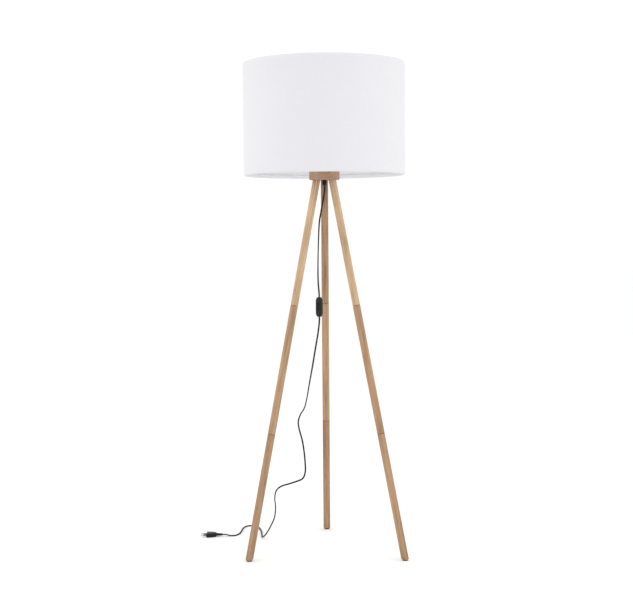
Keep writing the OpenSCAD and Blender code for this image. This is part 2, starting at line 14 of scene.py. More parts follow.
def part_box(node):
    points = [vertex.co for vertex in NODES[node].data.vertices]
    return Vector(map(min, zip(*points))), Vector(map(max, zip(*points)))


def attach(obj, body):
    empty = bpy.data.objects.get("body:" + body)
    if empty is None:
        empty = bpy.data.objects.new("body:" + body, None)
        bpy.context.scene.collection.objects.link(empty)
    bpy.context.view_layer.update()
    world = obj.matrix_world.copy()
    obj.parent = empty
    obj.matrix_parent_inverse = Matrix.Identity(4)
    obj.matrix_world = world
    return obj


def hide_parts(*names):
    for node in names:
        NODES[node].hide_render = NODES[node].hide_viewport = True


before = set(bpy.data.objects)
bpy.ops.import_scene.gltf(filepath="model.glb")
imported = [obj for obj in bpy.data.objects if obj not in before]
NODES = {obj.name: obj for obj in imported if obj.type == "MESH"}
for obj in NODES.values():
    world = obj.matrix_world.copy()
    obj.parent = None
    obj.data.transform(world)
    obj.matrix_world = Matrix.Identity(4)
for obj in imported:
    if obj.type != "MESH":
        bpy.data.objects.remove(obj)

log = logging.getLogger("floor_lamp")

Point = tuple[float, float, float]
Colour = tuple[float, float, float]
Test = Callable[[Vector, Vector], bool]

STAND = "stand"
ROCKER = "rocker"
LEG_AZIMUTHS = {"rear": math.radians(90), "left": math.radians(210), "right": math.radians(330)}
LEG_LEAN = math.radians(12)


# ---------------------------------------------------------------- shaders

class Value:
    """A shader socket that takes part in arithmetic, each operator adding a Math node."""

    def __init__(self, recipe: "Recipe", socket: bpy.types.NodeSocket) -> None:
        """Wrap one socket of a recipe.

        Args:
            recipe: The recipe that it belongs to.
            socket: The socket.
        """
        self.recipe = recipe
        self.socket = socket

    def __add__(self, other: "Value | float") -> "Value":
        """The sum, as a node."""
        return self.recipe.maths("ADD", self, other)

    def __sub__(self, other: "Value | float") -> "Value":
        """The difference, as a node."""
        return self.recipe.maths("SUBTRACT", self, other)

    def __rsub__(self, other: float) -> "Value":
        """A number less the value, as a node."""
        return self.recipe.maths("SUBTRACT", other, self)

    def __mul__(self, other: "Value | float") -> "Value":
        """The product, as a node."""
        return self.recipe.maths("MULTIPLY", self, other)

    __radd__ = __add__
    __rmul__ = __mul__

    def sine(self) -> "Value":
        """The sine of the value, in radians."""
        return self.recipe.maths("SINE", self)

    def above(self, edge: float, softness: float) -> "Value":
        """A mask that rises from 0 to 1 round an edge.

        Args:
            edge: The value at which the mask is a half.
            softness: The width of the rise.

        Returns:
            The mask.
        """
        low, high = edge - softness / 2, edge + softness / 2
        made = self.recipe.node("ShaderNodeMapRange", {"interpolation_type": "SMOOTHSTEP", "clamp": True},
                                {"Value": self, "From Min": low, "From Max": high})
        return Value(self.recipe, made.outputs["Result"])


class Recipe:
    """A material's node tree under construction."""

    def __init__(self, name: str) -> None:
        """Start a material of that name, with its surface shader.

        Args:
            name: The material's name.
        """
        self.material = bpy.data.materials.new(name)
        self.material.use_nodes = True
        self.tree = self.material.node_tree
        self.surface = self.tree.nodes["Principled BSDF"]

    def node(self, kind: str, settings: dict | None = None, inputs: dict | None = None) -> bpy.types.Node:
        """Add one node.

        Args:
            kind: The node's type name.
            settings: Its settings, set first.
            inputs: Values or links for its sockets, by name or number.

        Returns:
            The node.
        """
        made = self.tree.nodes.new(kind)
        for key, setting in (settings or {}).items():
            setattr(made, key, setting)
        for key, given in (inputs or {}).items():
            self.feed(made.inputs[key], given)
        return made

    def feed(self, socket: bpy.types.NodeSocket, given: object) -> None:
        """Link a socket, or set its value.

        Args:
            socket: The socket.
            given: A value, a socket or a plain number or colour.
        """
        given = given.socket if isinstance(given, Value) else given
        if isinstance(given, bpy.types.NodeSocket):
            self.tree.links.new(given, socket)
        else:
            socket.default_value = given

    def maths(self, operation: str, *values: "Value | float") -> Value:
        """Add a Math node on the values given and return its result."""
        made = self.node("ShaderNodeMath", {"operation": operation}, dict(enumerate(values)))
        return Value(self, made.outputs[0])

    def place(self, turns: Sequence[Point] = (), stretch: Point = (1, 1, 1), shift: Point = (0, 0, 0),
              ) -> bpy.types.NodeSocket:
        """Object coordinates, turned step by step and then stretched.

        Args:
            turns: Rotations in radians, applied one after another.
            stretch: The scale along each axis after turning.
            shift: A move after stretching, so that pieces differ.

        Returns:
            The vector socket.
        """
        vector = self.node("ShaderNodeTexCoord").outputs["Object"]
        for turn in turns:
            vector = self.node("ShaderNodeMapping", None, {"Vector": vector, "Rotation": turn}).outputs[0]
        made = self.node("ShaderNodeMapping", None, {"Vector": vector, "Scale": stretch, "Location": shift})
        return made.outputs[0]

    def cloth_place(self) -> tuple[Value, Value]:
        """The piece's own UV map, in metres, as across and along.

        Returns:
            The two values.
        """
        uv = self.node("ShaderNodeTexCoord").outputs["UV"]
        parts = self.node("ShaderNodeSeparateXYZ", None, {"Vector": uv})
        return Value(self, parts.outputs["X"]), Value(self, parts.outputs["Y"])

    def join(self, x: Value, y: Value) -> bpy.types.NodeSocket:
        """A vector of two values."""
        return self.node("ShaderNodeCombineXYZ", None, {"X": x, "Y": y}).outputs[0]

    def noise(self, vector: object, scale: float, detail: float = 3.0, roughness: float = 0.5) -> Value:
        """A noise between 0 and 1 at that scale per metre.

        Args:
            vector: The coordinates.
            scale: Its scale per metre.
            detail: Its octaves.
            roughness: The share that finer octaves keep.

        Returns:
            The noise.
        """
        made = self.node("ShaderNodeTexNoise", None,
                         {"Vector": vector, "Scale": scale, "Detail": detail, "Roughness": roughness})
        return Value(self, made.outputs["Fac"])

    def blend(self, factor: object, first: object, second: object) -> bpy.types.NodeSocket:
        """Mix two colours.

        Args:
            factor: The share of the second colour.
            first: A colour or a socket.
            second: A colour or a socket.

        Returns:
            The colour socket.
        """
        made = self.node("ShaderNodeMix", {"data_type": "RGBA"})
        for socket, given in zip((made.inputs[0], made.inputs[6], made.inputs[7]), (factor, first, second)):
            self.feed(socket, (*given, 1.0) if isinstance(given, tuple) else given)
        return made.outputs[2]

    def bumps(self, height: Value, strength: float, distance: float) -> None:
        """Let a height shape the surface's normal.

        Args:
            height: The height.
            strength: How strongly it shows.
            distance: Its depth, in metres.
        """
        made = self.node("ShaderNodeBump", None,
                         {"Height": height, "Strength": strength, "Distance": distance})
        self.feed(self.surface.inputs["Normal"], made.outputs["Normal"])

    def finish(self, colour: object, roughness: object, **fixed: float) -> bpy.types.Material:
        """Feed the surface shader.

        Args:
            colour: A colour or a socket.
            roughness: A number or a value.
            **fixed: Constants for the shader's own sockets, with _ for a space.

        Returns:
            The material.
        """
        self.feed(self.surface.inputs["Base Color"], (*colour, 1.0) if isinstance(colour, tuple) else colour)
        self.feed(self.surface.inputs["Roughness"], roughness)
        for name, number in fixed.items():
            self.surface.inputs[name.replace("_", " ")].default_value = number
        return self.material


@dataclass(frozen=True)
class Wood:
    """Lacquered beech, with its grain along the piece's own length."""

    name: str
    pale: Colour
    dark: Colour
    blush: Colour
    turns: tuple[Point, ...]
    shift: Point = (0.0, 0.0, 0.0)
    contrast: float = 1.0
    ends: tuple[float, ...] = ()
    end_grain_and_shade_band: float = 0.0008
    end_grain_and_shade_tint: Colour = (0.52, 0.40, 0.32)

    def make(self) -> bpy.types.Material:
        """Streaks along the grain, slow colour drift, short dark flecks, and a dark band at each cut end:
        darker end grain and painted shade of the joint's groove.

        Returns:
            The material.
        """
        recipe = Recipe(self.name)
        length = recipe.node("ShaderNodeSeparateXYZ", None, {"Vector": recipe.place(self.turns)})
        streaks, drift, patches, fine, flecks = (
            recipe.noise(recipe.place(self.turns, (1, 1, along), self.shift), scale, detail, roughness)
            for along, scale, detail, roughness in (
                (0.045, 170.0, 4.0, 0.62), (0.22, 24.0, 2.0, 0.5), (0.4, 55.0, 3.0, 0.6),
                (0.02, 1500.0, 2.0, 0.7), (0.09, 1300.0, 1.0, 0.5)))
        fleck_mask = flecks.above(0.69, 0.06)
        tone = (streaks - 0.5) * (2.1 * self.contrast) + (drift - 0.5) * 1.3 + (fine - 0.5) * 0.6 + 0.5
        base = recipe.blend(tone.above(0.5, 0.95), self.dark, self.pale)
        warm = recipe.blend(patches.above(0.56, 0.3) * 0.55, base, self.blush)
        colour = recipe.blend(fleck_mask * 0.5, warm, tuple(0.55 * c for c in self.dark))
        # A dark band at each cut end: partly darker end grain, partly painted shade of the groove at the
        # joint.
        for end in self.ends:
            away = recipe.maths("ABSOLUTE", Value(recipe, length.outputs["Z"]) - end)
            cut = 1.0 - away.above(self.end_grain_and_shade_band, self.end_grain_and_shade_band / 2)
            colour = recipe.blend(cut * 0.7, colour, tuple(k * c for k, c in zip(self.end_grain_and_shade_tint, self.dark)))
        recipe.bumps((fine * 0.6 + streaks * 0.4) - fleck_mask * 0.5, 0.22, 0.00025)
        rough = 0.5 + (drift - 0.5) * 0.12 + fleck_mask * 0.12
        return recipe.finish(colour, rough, Specular_IOR_Level=0.4, Coat_Weight=0.08, Coat_Roughness=0.35)


@dataclass(frozen=True)
class Moulding:
    """Moulded plastic with a fine spark texture and faint handling marks."""

    name: str
    colour: Colour
    roughness: float = 0.42
    grain: float = 2600.0
    relief: float = 0.00004
    gloss: float = 0.25

    def make(self) -> bpy.types.Material:
        """Fine even texture, with slightly paler, rougher patches where it is touched.

        Returns:
            The material.
        """
        recipe = Recipe(self.name)
        spark = recipe.noise(recipe.place(), self.grain, 2.0, 0.6)
        marks = recipe.noise(recipe.place(), 120.0, 4.0, 0.6)
        scuffed = marks.above(0.6, 0.25)
        colour = recipe.blend(scuffed * 0.35 + (spark - 0.5) * 0.25, self.colour,
                              tuple(min(1.0, 1.35 * c + 0.006) for c in self.colour))
        recipe.bumps(spark, 0.35, self.relief)
        rough = self.roughness + (marks - 0.5) * 0.14 + (spark - 0.5) * 0.08
        return recipe.finish(colour, rough, Specular_IOR_Level=self.gloss)


@dataclass(frozen=True)
class Sheath:
    """Extruded cord sheath: faint lines along it, slow waves and a little dust."""

    name: str
    colour: Colour
    dust: Colour

    def make(self) -> bpy.types.Material:
        """Lines that follow the cord on its own map, in metres.

        Returns:
            The material.
        """
        recipe = Recipe(self.name)
        across, along = recipe.cloth_place()
        lines = recipe.noise(recipe.join(across * 2600.0, along * 22.0), 1.0, 2.0)
        waves = recipe.noise(recipe.join(across * 60.0, along * 90.0), 1.0, 2.0)
        dusty = recipe.noise(recipe.place(), 90.0, 4.0, 0.65).above(0.58, 0.2)
        colour = recipe.blend(dusty * 0.3 + (lines - 0.5) * 0.2, self.colour, self.dust)
        recipe.bumps(lines * 0.6 + waves * 0.4, 0.25, 0.00008)
        return recipe.finish(colour, 0.42 + dusty * 0.12 + (waves - 0.5) * 0.12, Specular_IOR_Level=0.2)


@dataclass(frozen=True)
class Metal:
    """Bare or plated metal with fine turning lines and a little tarnish."""

    name: str
    colour: Colour
    tarnish: Colour
    roughness: float = 0.3
    lines: float = 5200.0

    def make(self) -> bpy.types.Material:
        """Fine lines round the piece's length, and darker patches that are less shiny.

        Returns:
            The material.
        """
        recipe = Recipe(self.name)
        lines = recipe.noise(recipe.place((), (0.08, 0.08, 1.0)), self.lines, 2.0, 0.6)
        patches = recipe.noise(recipe.place(), 260.0, 4.0, 0.6)
        dulled = patches.above(0.6, 0.22)
        recipe.bumps(lines, 0.2, 0.00003)
        colour = recipe.blend(dulled * 0.55, self.colour, self.tarnish)
        rough = self.roughness + dulled * 0.16 + (lines - 0.5) * 0.12
        return recipe.finish(colour, rough, Metallic=1.0)


@dataclass(frozen=True)
class Paint:
    """Baked white paint on wire, with a slight orange peel."""

    name: str
    colour: Colour

    def make(self) -> bpy.types.Material:
        """An almost even gloss that undulates a little and yellows slightly in patches.

        Returns:
            The material.
        """
        recipe = Recipe(self.name)
        peel = recipe.noise(recipe.place(), 450.0, 1.0)
        drift = recipe.noise(recipe.place(), 40.0, 3.0)
        colour = recipe.blend(drift.above(0.55, 0.5) * 0.3, self.colour, tuple(0.94 * c for c in self.colour))
        recipe.bumps(peel, 0.06, 0.00002)
        return recipe.finish(colour, 0.34 + (peel - 0.5) * 0.08, Coat_Weight=0.2, Coat_Roughness=0.2)


@dataclass(frozen=True)
class Weave:
    """Plain woven cloth, drawn on the piece's own unrolled map."""

    name: str
    colour: Colour
    pitch: float = 0.0009
    relief: float = 0.00009

    def make(self) -> bpy.types.Material:
        """Threads over and under each other, some thicker, with a soft sheen.

        Returns:
            The material.
        """
        recipe = Recipe(self.name)
        across, along = recipe.cloth_place()
        turn = 2 * math.pi / self.pitch
        warp = (across * turn).sine()
        weft = (along * turn).sine()
        weave = warp * weft * 0.5 + 0.5
        uv = recipe.node("ShaderNodeTexCoord").outputs["UV"]
        drawn = [recipe.node("ShaderNodeMapping", None, {"Vector": uv, "Scale": stretch}).outputs[0]
                 for stretch in ((14.0, 900.0, 1.0), (900.0, 14.0, 1.0))]
        slubs = recipe.noise(drawn[0], 1.0, 2.0) * 0.5 + recipe.noise(drawn[1], 1.0, 2.0) * 0.5
        thick = slubs.above(0.56, 0.12)
        colour = recipe.blend(weave * 0.6 + thick * 0.3, tuple(0.89 * c for c in self.colour), self.colour)
        recipe.bumps(weave + thick * 0.7, 0.7, self.relief)
        return recipe.finish(colour, 0.86 - weave * 0.06, Sheen_Weight=0.15, Sheen_Roughness=0.5)


@dataclass(frozen=True)
class Film:
    """The smooth stiff plastic lining of the shade."""

    name: str
    colour: Colour

    def make(self) -> bpy.types.Material:
        """Satin, with slow waves where it was laminated.

        Returns:
            The material.
        """
        recipe = Recipe(self.name)
        waves = recipe.noise(recipe.place((), (1, 1, 0.3)), 30.0, 3.0)
        grit = recipe.noise(recipe.place(), 1800.0, 1.0)
        colour = recipe.blend(waves.above(0.5, 0.7) * 0.5, self.colour, tuple(0.965 * c for c in self.colour))
        recipe.bumps(waves * 0.7 + grit * 0.3, 0.15, 0.0002)
        return recipe.finish(colour, 0.5 + (grit - 0.5) * 0.08)


@dataclass(frozen=True)
class Pins:
    """Nickel pins whose root half has a black insulating sleeve."""

    name: str
    sleeve_to_x: float

    def make(self) -> bpy.types.Material:
        """Black plastic towards the plug's face and metal beyond it.

        Returns:
            The material.
        """
        recipe = Recipe(self.name)
        place = recipe.place()
        x = Value(recipe, recipe.node("ShaderNodeSeparateXYZ", None, {"Vector": place}).outputs["X"])
        sleeve = x.above(self.sleeve_to_x, 0.0002)
        wear = recipe.noise(place, 1400.0, 3.0)
        metal = recipe.blend(wear.above(0.58, 0.2) * 0.4, (0.60, 0.59, 0.565), (0.42, 0.405, 0.375))
        recipe.bumps(wear, 0.1, 0.00003)
        recipe.feed(recipe.surface.inputs["Metallic"], 1.0 - sleeve)
        colour = recipe.blend(sleeve, metal, (0.022, 0.022, 0.025))
        return recipe.finish(colour, 0.24 + sleeve * 0.2 + (wear - 0.5) * 0.1)


class Tone(Enum):
    """A shade of beech, as (pale, dark, blush)."""

    HONEY = ((0.70, 0.50, 0.31), (0.42, 0.262, 0.14), (0.64, 0.41, 0.26))
    AMBER = ((0.523, 0.334, 0.192), (0.30, 0.169, 0.084), (0.475, 0.281, 0.163))
    RUSSET = ((0.50, 0.305, 0.17), (0.29, 0.158, 0.078), (0.46, 0.265, 0.155))
    UMBER = ((0.46, 0.28, 0.155), (0.27, 0.145, 0.070), (0.42, 0.235, 0.135))
    STAINED = ((0.43, 0.275, 0.18), (0.25, 0.152, 0.098), (0.41, 0.24, 0.155))


class Finishes:
    """One material for each finish, made once and shared."""

    def __init__(self) -> None:
        """Make every shared finish."""
        self.black = Moulding("black_moulding", (0.009, 0.009, 0.0095)).make()
        # The rocker's black is darker than the housing's: painted shade of its recessed, dished window.
        self.rocker = Moulding("rocker_moulding_painted_shade", (0.006, 0.006, 0.007), 0.26, relief=0.00002,
                               gloss=0.2).make()
        self.sheath = Sheath("cord_sheath", (0.009, 0.009, 0.0098), (0.032, 0.0315, 0.031)).make()
        self.cord_end = Moulding("cord_end", (0.009, 0.009, 0.0098), 0.38, 900.0, 0.00003).make()
        self.core = Moulding("core_insulation", (0.08, 0.14, 0.34), 0.4).make()
        self.insulator = Moulding("pale_insulator", (0.74, 0.72, 0.66), 0.55, 1500.0, 0.00003).make()
        self.glide = Moulding("glide_felt", (0.035, 0.028, 0.023), 0.85, 1600.0, 0.0002).make()
        self.brass = Metal("brass", (0.80, 0.58, 0.27), (0.46, 0.30, 0.13)).make()
        self.steel = Metal("zinc_steel", (0.63, 0.64, 0.66), (0.42, 0.42, 0.43), 0.36).make()
        self.wire = Paint("white_wire", (0.84, 0.84, 0.835)).make()
        self.fabric = Weave("white_fabric", (0.815, 0.808, 0.85)).make()
        self.tape = Weave("hem_tape", (0.86, 0.853, 0.89), 0.0006, 0.00004).make()
        self.liner = Film("white_liner", (0.87, 0.87, 0.885)).make()


def dress(material: bpy.types.Material, *nodes: str) -> None:
    """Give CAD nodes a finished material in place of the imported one.

    Args:
        material: The finished material.
        *nodes: The CAD nodes' names.
    """
    for name in nodes:
        for place in NODES[name].material_slots:
            place.material = material
    log.info("dressed %s in %s", ", ".join(nodes), material.name)


# ---------------------------------------------------------------- the bench

def put_down() -> None:
    """Leave edit mode and select nothing."""
    if bpy.context.mode != "OBJECT":
        bpy.ops.object.mode_set(mode="OBJECT")
    bpy.ops.object.select_all(action="DESELECT")


class Workpiece:
    """A mesh shaped in edit mode, operation by operation, as by hand."""

    def __init__(self, name: str) -> None:
        """Name the active object, and take it as the piece.

        Args:
            name: The piece's name.
        """
        self.object = bpy.context.object
        self.object.name = name
        self.object.data.name = name

    @property
    def mesh(self) -> bpy.types.Mesh:
        """The mesh being shaped."""
        return self.object.data

    def take_up(self) -> None:
        """Make this piece the active one and the only one selected."""
        put_down()
        bpy.context.view_layer.objects.active = self.object
        self.object.select_set(True)

    def edit(self) -> None:
        """Enter edit mode on this piece alone."""
        self.take_up()
        bpy.ops.object.mode_set(mode="EDIT")

    def pick(self, kind: str, test: Test) -> None:
        """Select in edit mode what passes a test.

        Args:
            kind: "FACE" or "EDGE".
            test: Takes the middle and the normal (of an edge, its direction).
        """
        bpy.ops.mesh.select_mode(type=kind)
        bpy.ops.mesh.select_all(action="DESELECT")
        shape = bmesh.from_edit_mesh(self.mesh)
        if kind == "FACE":
            for face in shape.faces:
                face.select = test(face.calc_center_median(), face.normal)
        else:
            for edge in shape.edges:
                first, second = (v.co for v in edge.verts)
                edge.select = test((first + second) / 2, (second - first).normalized())
        shape.select_flush_mode()
        bmesh.update_edit_mesh(self.mesh)

    def pick_ribs(self, count: int, low: float, high: float, beyond: float) -> None:
        """Select in edit mode the faces of evenly spaced ribs, on the outside of a turned piece.

        Args:
            count: How many ribs there are all round.
            low: The height above which they lie.
            high: The height below which they lie.
            beyond: The radius outside which they lie.
        """
        step = 2 * math.pi / count
        self.pick("FACE", lambda middle, normal: (
            low < middle.z < high and abs(normal.z) < 0.3 and math.hypot(middle.x, middle.y) > beyond
            and math.atan2(middle.y, middle.x) % step < 0.5 * step))

    def close_up(self) -> None:
        """Merge doubles, turn all faces outwards and leave edit mode."""
        bpy.ops.mesh.select_all(action="SELECT")
        bpy.ops.mesh.remove_doubles(threshold=0.000004)
        bpy.ops.mesh.normals_make_consistent(inside=False)
        bpy.ops.object.mode_set(mode="OBJECT")

    def modify(self, kind: str, **settings: object) -> None:
        """Add a modifier, set it and apply it.

        Args:
            kind: The modifier's type.
            **settings: Its settings.
        """
        self.take_up()
        bpy.ops.object.modifier_add(type=kind)
        added = self.object.modifiers[-1]
        for key, setting in settings.items():
            setattr(added, key, setting)
        bpy.ops.object.modifier_apply(modifier=added.name)

    def soften(self, width: float, segments: int = 2, angle: float = 30.0) -> None:
        """Round the edges that are sharper than an angle in degrees."""
        self.modify("BEVEL", width=width, segments=segments, limit_method="ANGLE",
                    angle_limit=math.radians(angle))

    def cut(self, tool: "Workpiece") -> None:
        """Take another piece's shape away from this one, and throw that piece away."""
        self.modify("BOOLEAN", operation="DIFFERENCE", solver="EXACT", object=tool.object)
        bpy.data.objects.remove(tool.object)

    def move_to(self, place: Matrix) -> None:
        """Put the shape at its place, keeping the object at the origin.

        Args:
            place: The place.
        """
        self.take_up()
        self.object.matrix_world = place
        bpy.ops.object.transform_apply(location=True, rotation=True, scale=True)

    def shape_by(self, rule: Callable[[Vector], Vector]) -> None:
        """Move every vertex to where a rule says.

        Args:
            rule: Takes a vertex's place and gives the new one.
        """
        for vert in self.mesh.vertices:
            vert.co = rule(vert.co.copy())
        self.mesh.update()

    def copy(self, name: str, place: Matrix) -> "Workpiece":
        """A copy with its own mesh, put at a place.

        Args:
            name: The copy's name.
            place: Its place.

        Returns:
            The copy.
        """
        put_down()
        twin = self.object.copy()
        twin.data = self.mesh.copy()
        bpy.context.scene.collection.objects.link(twin)
        bpy.context.view_layer.objects.active = twin
        made = Workpiece(name)
        made.move_to(place)
        return made

    def join(self, others: Iterable["Workpiece"]) -> None:
        """Take other pieces into this one.

        Args:
            others: The other pieces.
        """
        self.take_up()
        for other in others:
            other.object.select_set(True)
        bpy.ops.object.join()

    def done(self, material: bpy.types.Material, slot: str, nodes: Sequence[str] = (),
             body: str = STAND, smooth: float = 40.0) -> bpy.types.Object:
        """Finish the piece: smooth it, dress it and let it ride.

        Args:
            material: Its finish.
            slot: The record's material slot it takes after; not used.
            nodes: The CAD nodes it stands for.
            body: The body it rides on.
            smooth: The angle in degrees over which an edge stays sharp.

        Returns:
            The finished object.
        """
        self.take_up()
        self.mesh.materials.clear()
        self.mesh.materials.append(material)
        bpy.ops.object.shade_smooth_by_angle(angle=math.radians(smooth))
        put_down()
        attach(self.object, body)
        if nodes:
            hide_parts(*nodes)
        log.info("%s: %d faces", self.object.name, len(self.mesh.polygons))
        return self.object


def primitive(name: str, operator: Callable, stretch: Point = (1, 1, 1), **settings: object) -> Workpiece:
    """Add a primitive, stretched, with its object at the origin.

    Args:
        name: The piece's name.
        operator: The operator that adds it.
        stretch: The scale along each axis.
        **settings: The operator's own settings.

    Returns:
        The piece.
    """
    put_down()
    operator(**settings)
    piece = Workpiece(name)
    piece.object.scale = stretch
    bpy.ops.object.transform_apply(location=True, rotation=True, scale=True)
    return piece


def turned(name: str, outline: Sequence[tuple[float, float]], segments: int = 64,
           ring: bool = False) -> Workpiece:
    """Turn an outline round Z, as on a lathe, by extruding a circle step by step.

    Args:
        name: The piece's name.
        outline: (radius, height) pairs; a radius of 0 closes the piece at a pole.
        segments: Sides all round.
        ring: Whether the last step joins the first, as in a tube or a washer.

    Returns:
        The piece.
    """
    steps = list(outline)
    pole_first = steps[0][0] == 0
    start = steps[1] if pole_first else steps[0]
    piece = primitive(name, bpy.ops.mesh.primitive_circle_add, vertices=segments, radius=start[0],
                      location=(0, 0, start[1]))
    piece.edit()
    bpy.ops.mesh.select_mode(type="EDGE")
    bpy.ops.mesh.select_all(action="SELECT")
    if pole_first:
        bpy.ops.mesh.extrude_edges_move()
        bpy.ops.transform.translate(value=(0, 0, steps[0][1] - start[1]))
        bpy.ops.mesh.merge(type="CENTER")
        piece.pick("EDGE", lambda middle, _: math.hypot(middle.x, middle.y) > 0.9 * start[0])
        steps = steps[1:]
    before = steps[0]
    for here in steps[1:]:
        bpy.ops.mesh.extrude_edges_move()
        if here[0] == 0:
            bpy.ops.transform.translate(value=(0, 0, here[1] - before[1]))
            bpy.ops.mesh.merge(type="CENTER")
            break
        grow = here[0] / before[0]
        bpy.ops.transform.resize(value=(grow, grow, 1), center_override=(0, 0, 0))
        bpy.ops.transform.translate(value=(0, 0, here[1] - before[1]))
        before = here
    if ring:
        bpy.ops.mesh.select_all(action="DESELECT")
        bpy.ops.mesh.select_non_manifold(extend=False)
        bpy.ops.mesh.bridge_edge_loops()
    piece.close_up()
    return piece


def from_mesh(name: str, mesh: bpy.types.Mesh) -> Workpiece:
    """A piece of that name from a mesh, with its doubles merged and its faces turned outwards.

    Args:
        name: The piece's name.
        mesh: The mesh, which becomes the piece's own.

    Returns:
        The piece.
    """
    put_down()
    made = bpy.data.objects.new(name, mesh)
    bpy.context.scene.collection.objects.link(made)
    bpy.context.view_layer.objects.active = made
    piece = Workpiece(name)
    piece.edit()
    piece.close_up()
    return piece


def recast(name: str, node: str) -> Workpiece:
    """A new piece with a CAD node's exact shape, merged so that it shades smoothly.

    Args:
        name: The piece's name.
        node: The CAD node's name.

    Returns:
        The piece.
    """
    return from_mesh(name, NODES[node].data.copy())


def wind_thread(piece: Workpiece, pitch: float, depth: float, low: float, high: float,
                inner: float, outer: float) -> None:
    """Wind a rounded screw thread into the part of a turned piece that lies between two radii.

    Args:
        piece: The turned piece, with several rings to each turn of the thread.
        pitch: The rise of one turn.
        depth: Crest to root.
        low: Height at which the thread starts.
        high: Height at which it ends.
        inner: The smallest radius that is touched.
        outer: The largest.
    """
    def wind(point: Vector) -> Vector:
        """A point of the blank, moved in towards the root of the thread.

        Args:
            point: The point.

        Returns:
            Its new place.
        """
        radius = math.hypot(point.x, point.y)
        if not (inner < radius < outer and low < point.z < high):
            return point
        fade = min(1.0, (point.z - low) / pitch, (high - point.z) / pitch)
        phase = 2 * math.pi * point.z / pitch - math.atan2(point.y, point.x)
        factor = 1 - fade * depth * (0.5 - 0.5 * math.cos(phase)) / radius
        return Vector((point.x * factor, point.y * factor, point.z))

    piece.shape_by(wind)


def rise(low: float, high: float, pitch: float, per_turn: int) -> list[float]:
    """Heights from low to high, close enough for a thread of that pitch.

    Args:
        low: The first height.
        high: The last height.
        pitch: The rise of one turn.
        per_turn: Rings to each turn.

    Returns:
        The heights.
    """
    count = max(2, round((high - low) / pitch * per_turn))
    return [low + (high - low) * i / count for i in range(count + 1)]


def unroll(piece: Workpiece, radius: float) -> None:
    """Give a turned piece one UV map, in metres: round the axis, and along the height and depth.

    Args:
        piece: The turned piece.
        radius: The radius at which the map is true to size.
    """
    while piece.mesh.uv_layers:
        piece.mesh.uv_layers.remove(piece.mesh.uv_layers[0])
    layer = piece.mesh.uv_layers.new(name="unrolled")
    for polygon in piece.mesh.polygons:
        angles = []
        for index in polygon.vertices:
            point = piece.mesh.vertices[index].co
            angles.append(math.atan2(point.y, point.x))
        wraps = max(angles) - min(angles) > math.pi
        for loop, index, angle in zip(polygon.loop_indices, polygon.vertices, angles):
            point = piece.mesh.vertices[index].co
            full = angle + 2 * math.pi if wraps and angle < 0 else angle
            depth = radius - math.hypot(point.x, point.y)
            layer.data[loop].uv = (full * radius, point.z + depth)


def span(node: str) -> tuple[float, float, float]:
    """A round CAD node's outer radius, foot and top."""
    low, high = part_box(node)
    return high.x, low.z, high.z


def about_z(angle: float) -> Matrix:
    """A turn about the lamp's axis."""
    return Matrix.Rotation(angle, 4, "Z")


# ---------------------------------------------------------------- the studio

@dataclass
class Studio:
    """A plain pale floor, soft light from both sides and the camera."""

    lens: float = 70.88
    eye: Point = (0.0, -3.8827, 0.9946)
    pitch_down: float = math.radians(3.363)
    turn_left: float = math.radians(0.4065)
    roll: float = math.radians(-0.4386)
    far_clip: float = 200.0
    floor_size: float = 60.0
    surround: float = 1.03
    softbox_size: float = 2.6
    lit_point: Point = (0.0, 0.0, 0.9)
    softboxes: tuple[tuple[str, Point, float, Colour], ...] = (
        ("left_softbox", (-3.4, 0.0, 1.6), 12.0, (1.0, 0.99, 0.80)),
        ("right_softbox", (3.4, -0.8, 1.6), 13.0, (1.0, 0.99, 0.80)),
        ("top_softbox", (0.0, -0.6, 4.4), 14.0, (1.0, 1.0, 1.0)))

    def build(self) -> None:
        """Make the camera, the floor and the lights, and show white as white."""
        self._camera()
        self._floor()
        for softbox in self.softboxes:
            self._light(*softbox)
        self._sky()
        bpy.context.scene.view_settings.view_transform = "Standard"

    def _camera(self) -> None:
        """The camera, tilted slightly down."""
        camera = bpy.data.objects.new("camera", bpy.data.cameras.new("camera"))
        bpy.context.scene.collection.objects.link(camera)
        camera.data.lens = self.lens
        camera.data.clip_end = self.far_clip
        aim = (Matrix.Rotation(self.turn_left, 4, "Z")
               @ Matrix.Rotation(math.pi / 2 - self.pitch_down, 4, "X")
               @ Matrix.Rotation(self.roll, 4, "Z"))
        camera.matrix_world = Matrix.Translation(self.eye) @ aim
        bpy.context.scene.camera = camera

    def _floor(self) -> None:
        """The floor, with a faint mottle."""
        floor = primitive("floor", bpy.ops.mesh.primitive_plane_add, size=self.floor_size)
        recipe = Recipe("pale_floor")
        mottle = recipe.noise(recipe.place(), 6.0, 3.0)
        colour = recipe.blend(mottle * 0.3, (0.975, 0.975, 0.975), (0.96, 0.96, 0.96))
        floor.mesh.materials.append(recipe.finish(colour, 0.9, Specular_IOR_Level=0.1))

    def _light(self, name: str, place: Point, power: float, colour: Colour) -> None:
        """A square soft light aimed at the lamp.

        Args:
            name: The light's name.
            place: Where it stands.
            power: Its power, in watts.
            colour: Its colour.
        """
        light = bpy.data.lights.new(name, "AREA")
        light.size = self.softbox_size
        light.energy = power
        light.color = colour
        lamp = bpy.data.objects.new(name, light)
        bpy.context.scene.collection.objects.link(lamp)
        lamp.location = place
        lamp.rotation_mode = "QUATERNION"
        lamp.rotation_quaternion = (Vector(self.lit_point) - Vector(place)).to_track_quat("-Z", "Y")

    def _sky(self) -> None:
        """An even white surround."""
        world = bpy.data.worlds.new("surround")
        world.use_nodes = True
        glow = world.node_tree.nodes["Background"].inputs
        glow["Color"].default_value = (1.0, 1.0, 1.0, 1.0)
        glow["Strength"].default_value = self.surround
        bpy.context.scene.world = world


# ---------------------------------------------------------------- the cord and what is on it

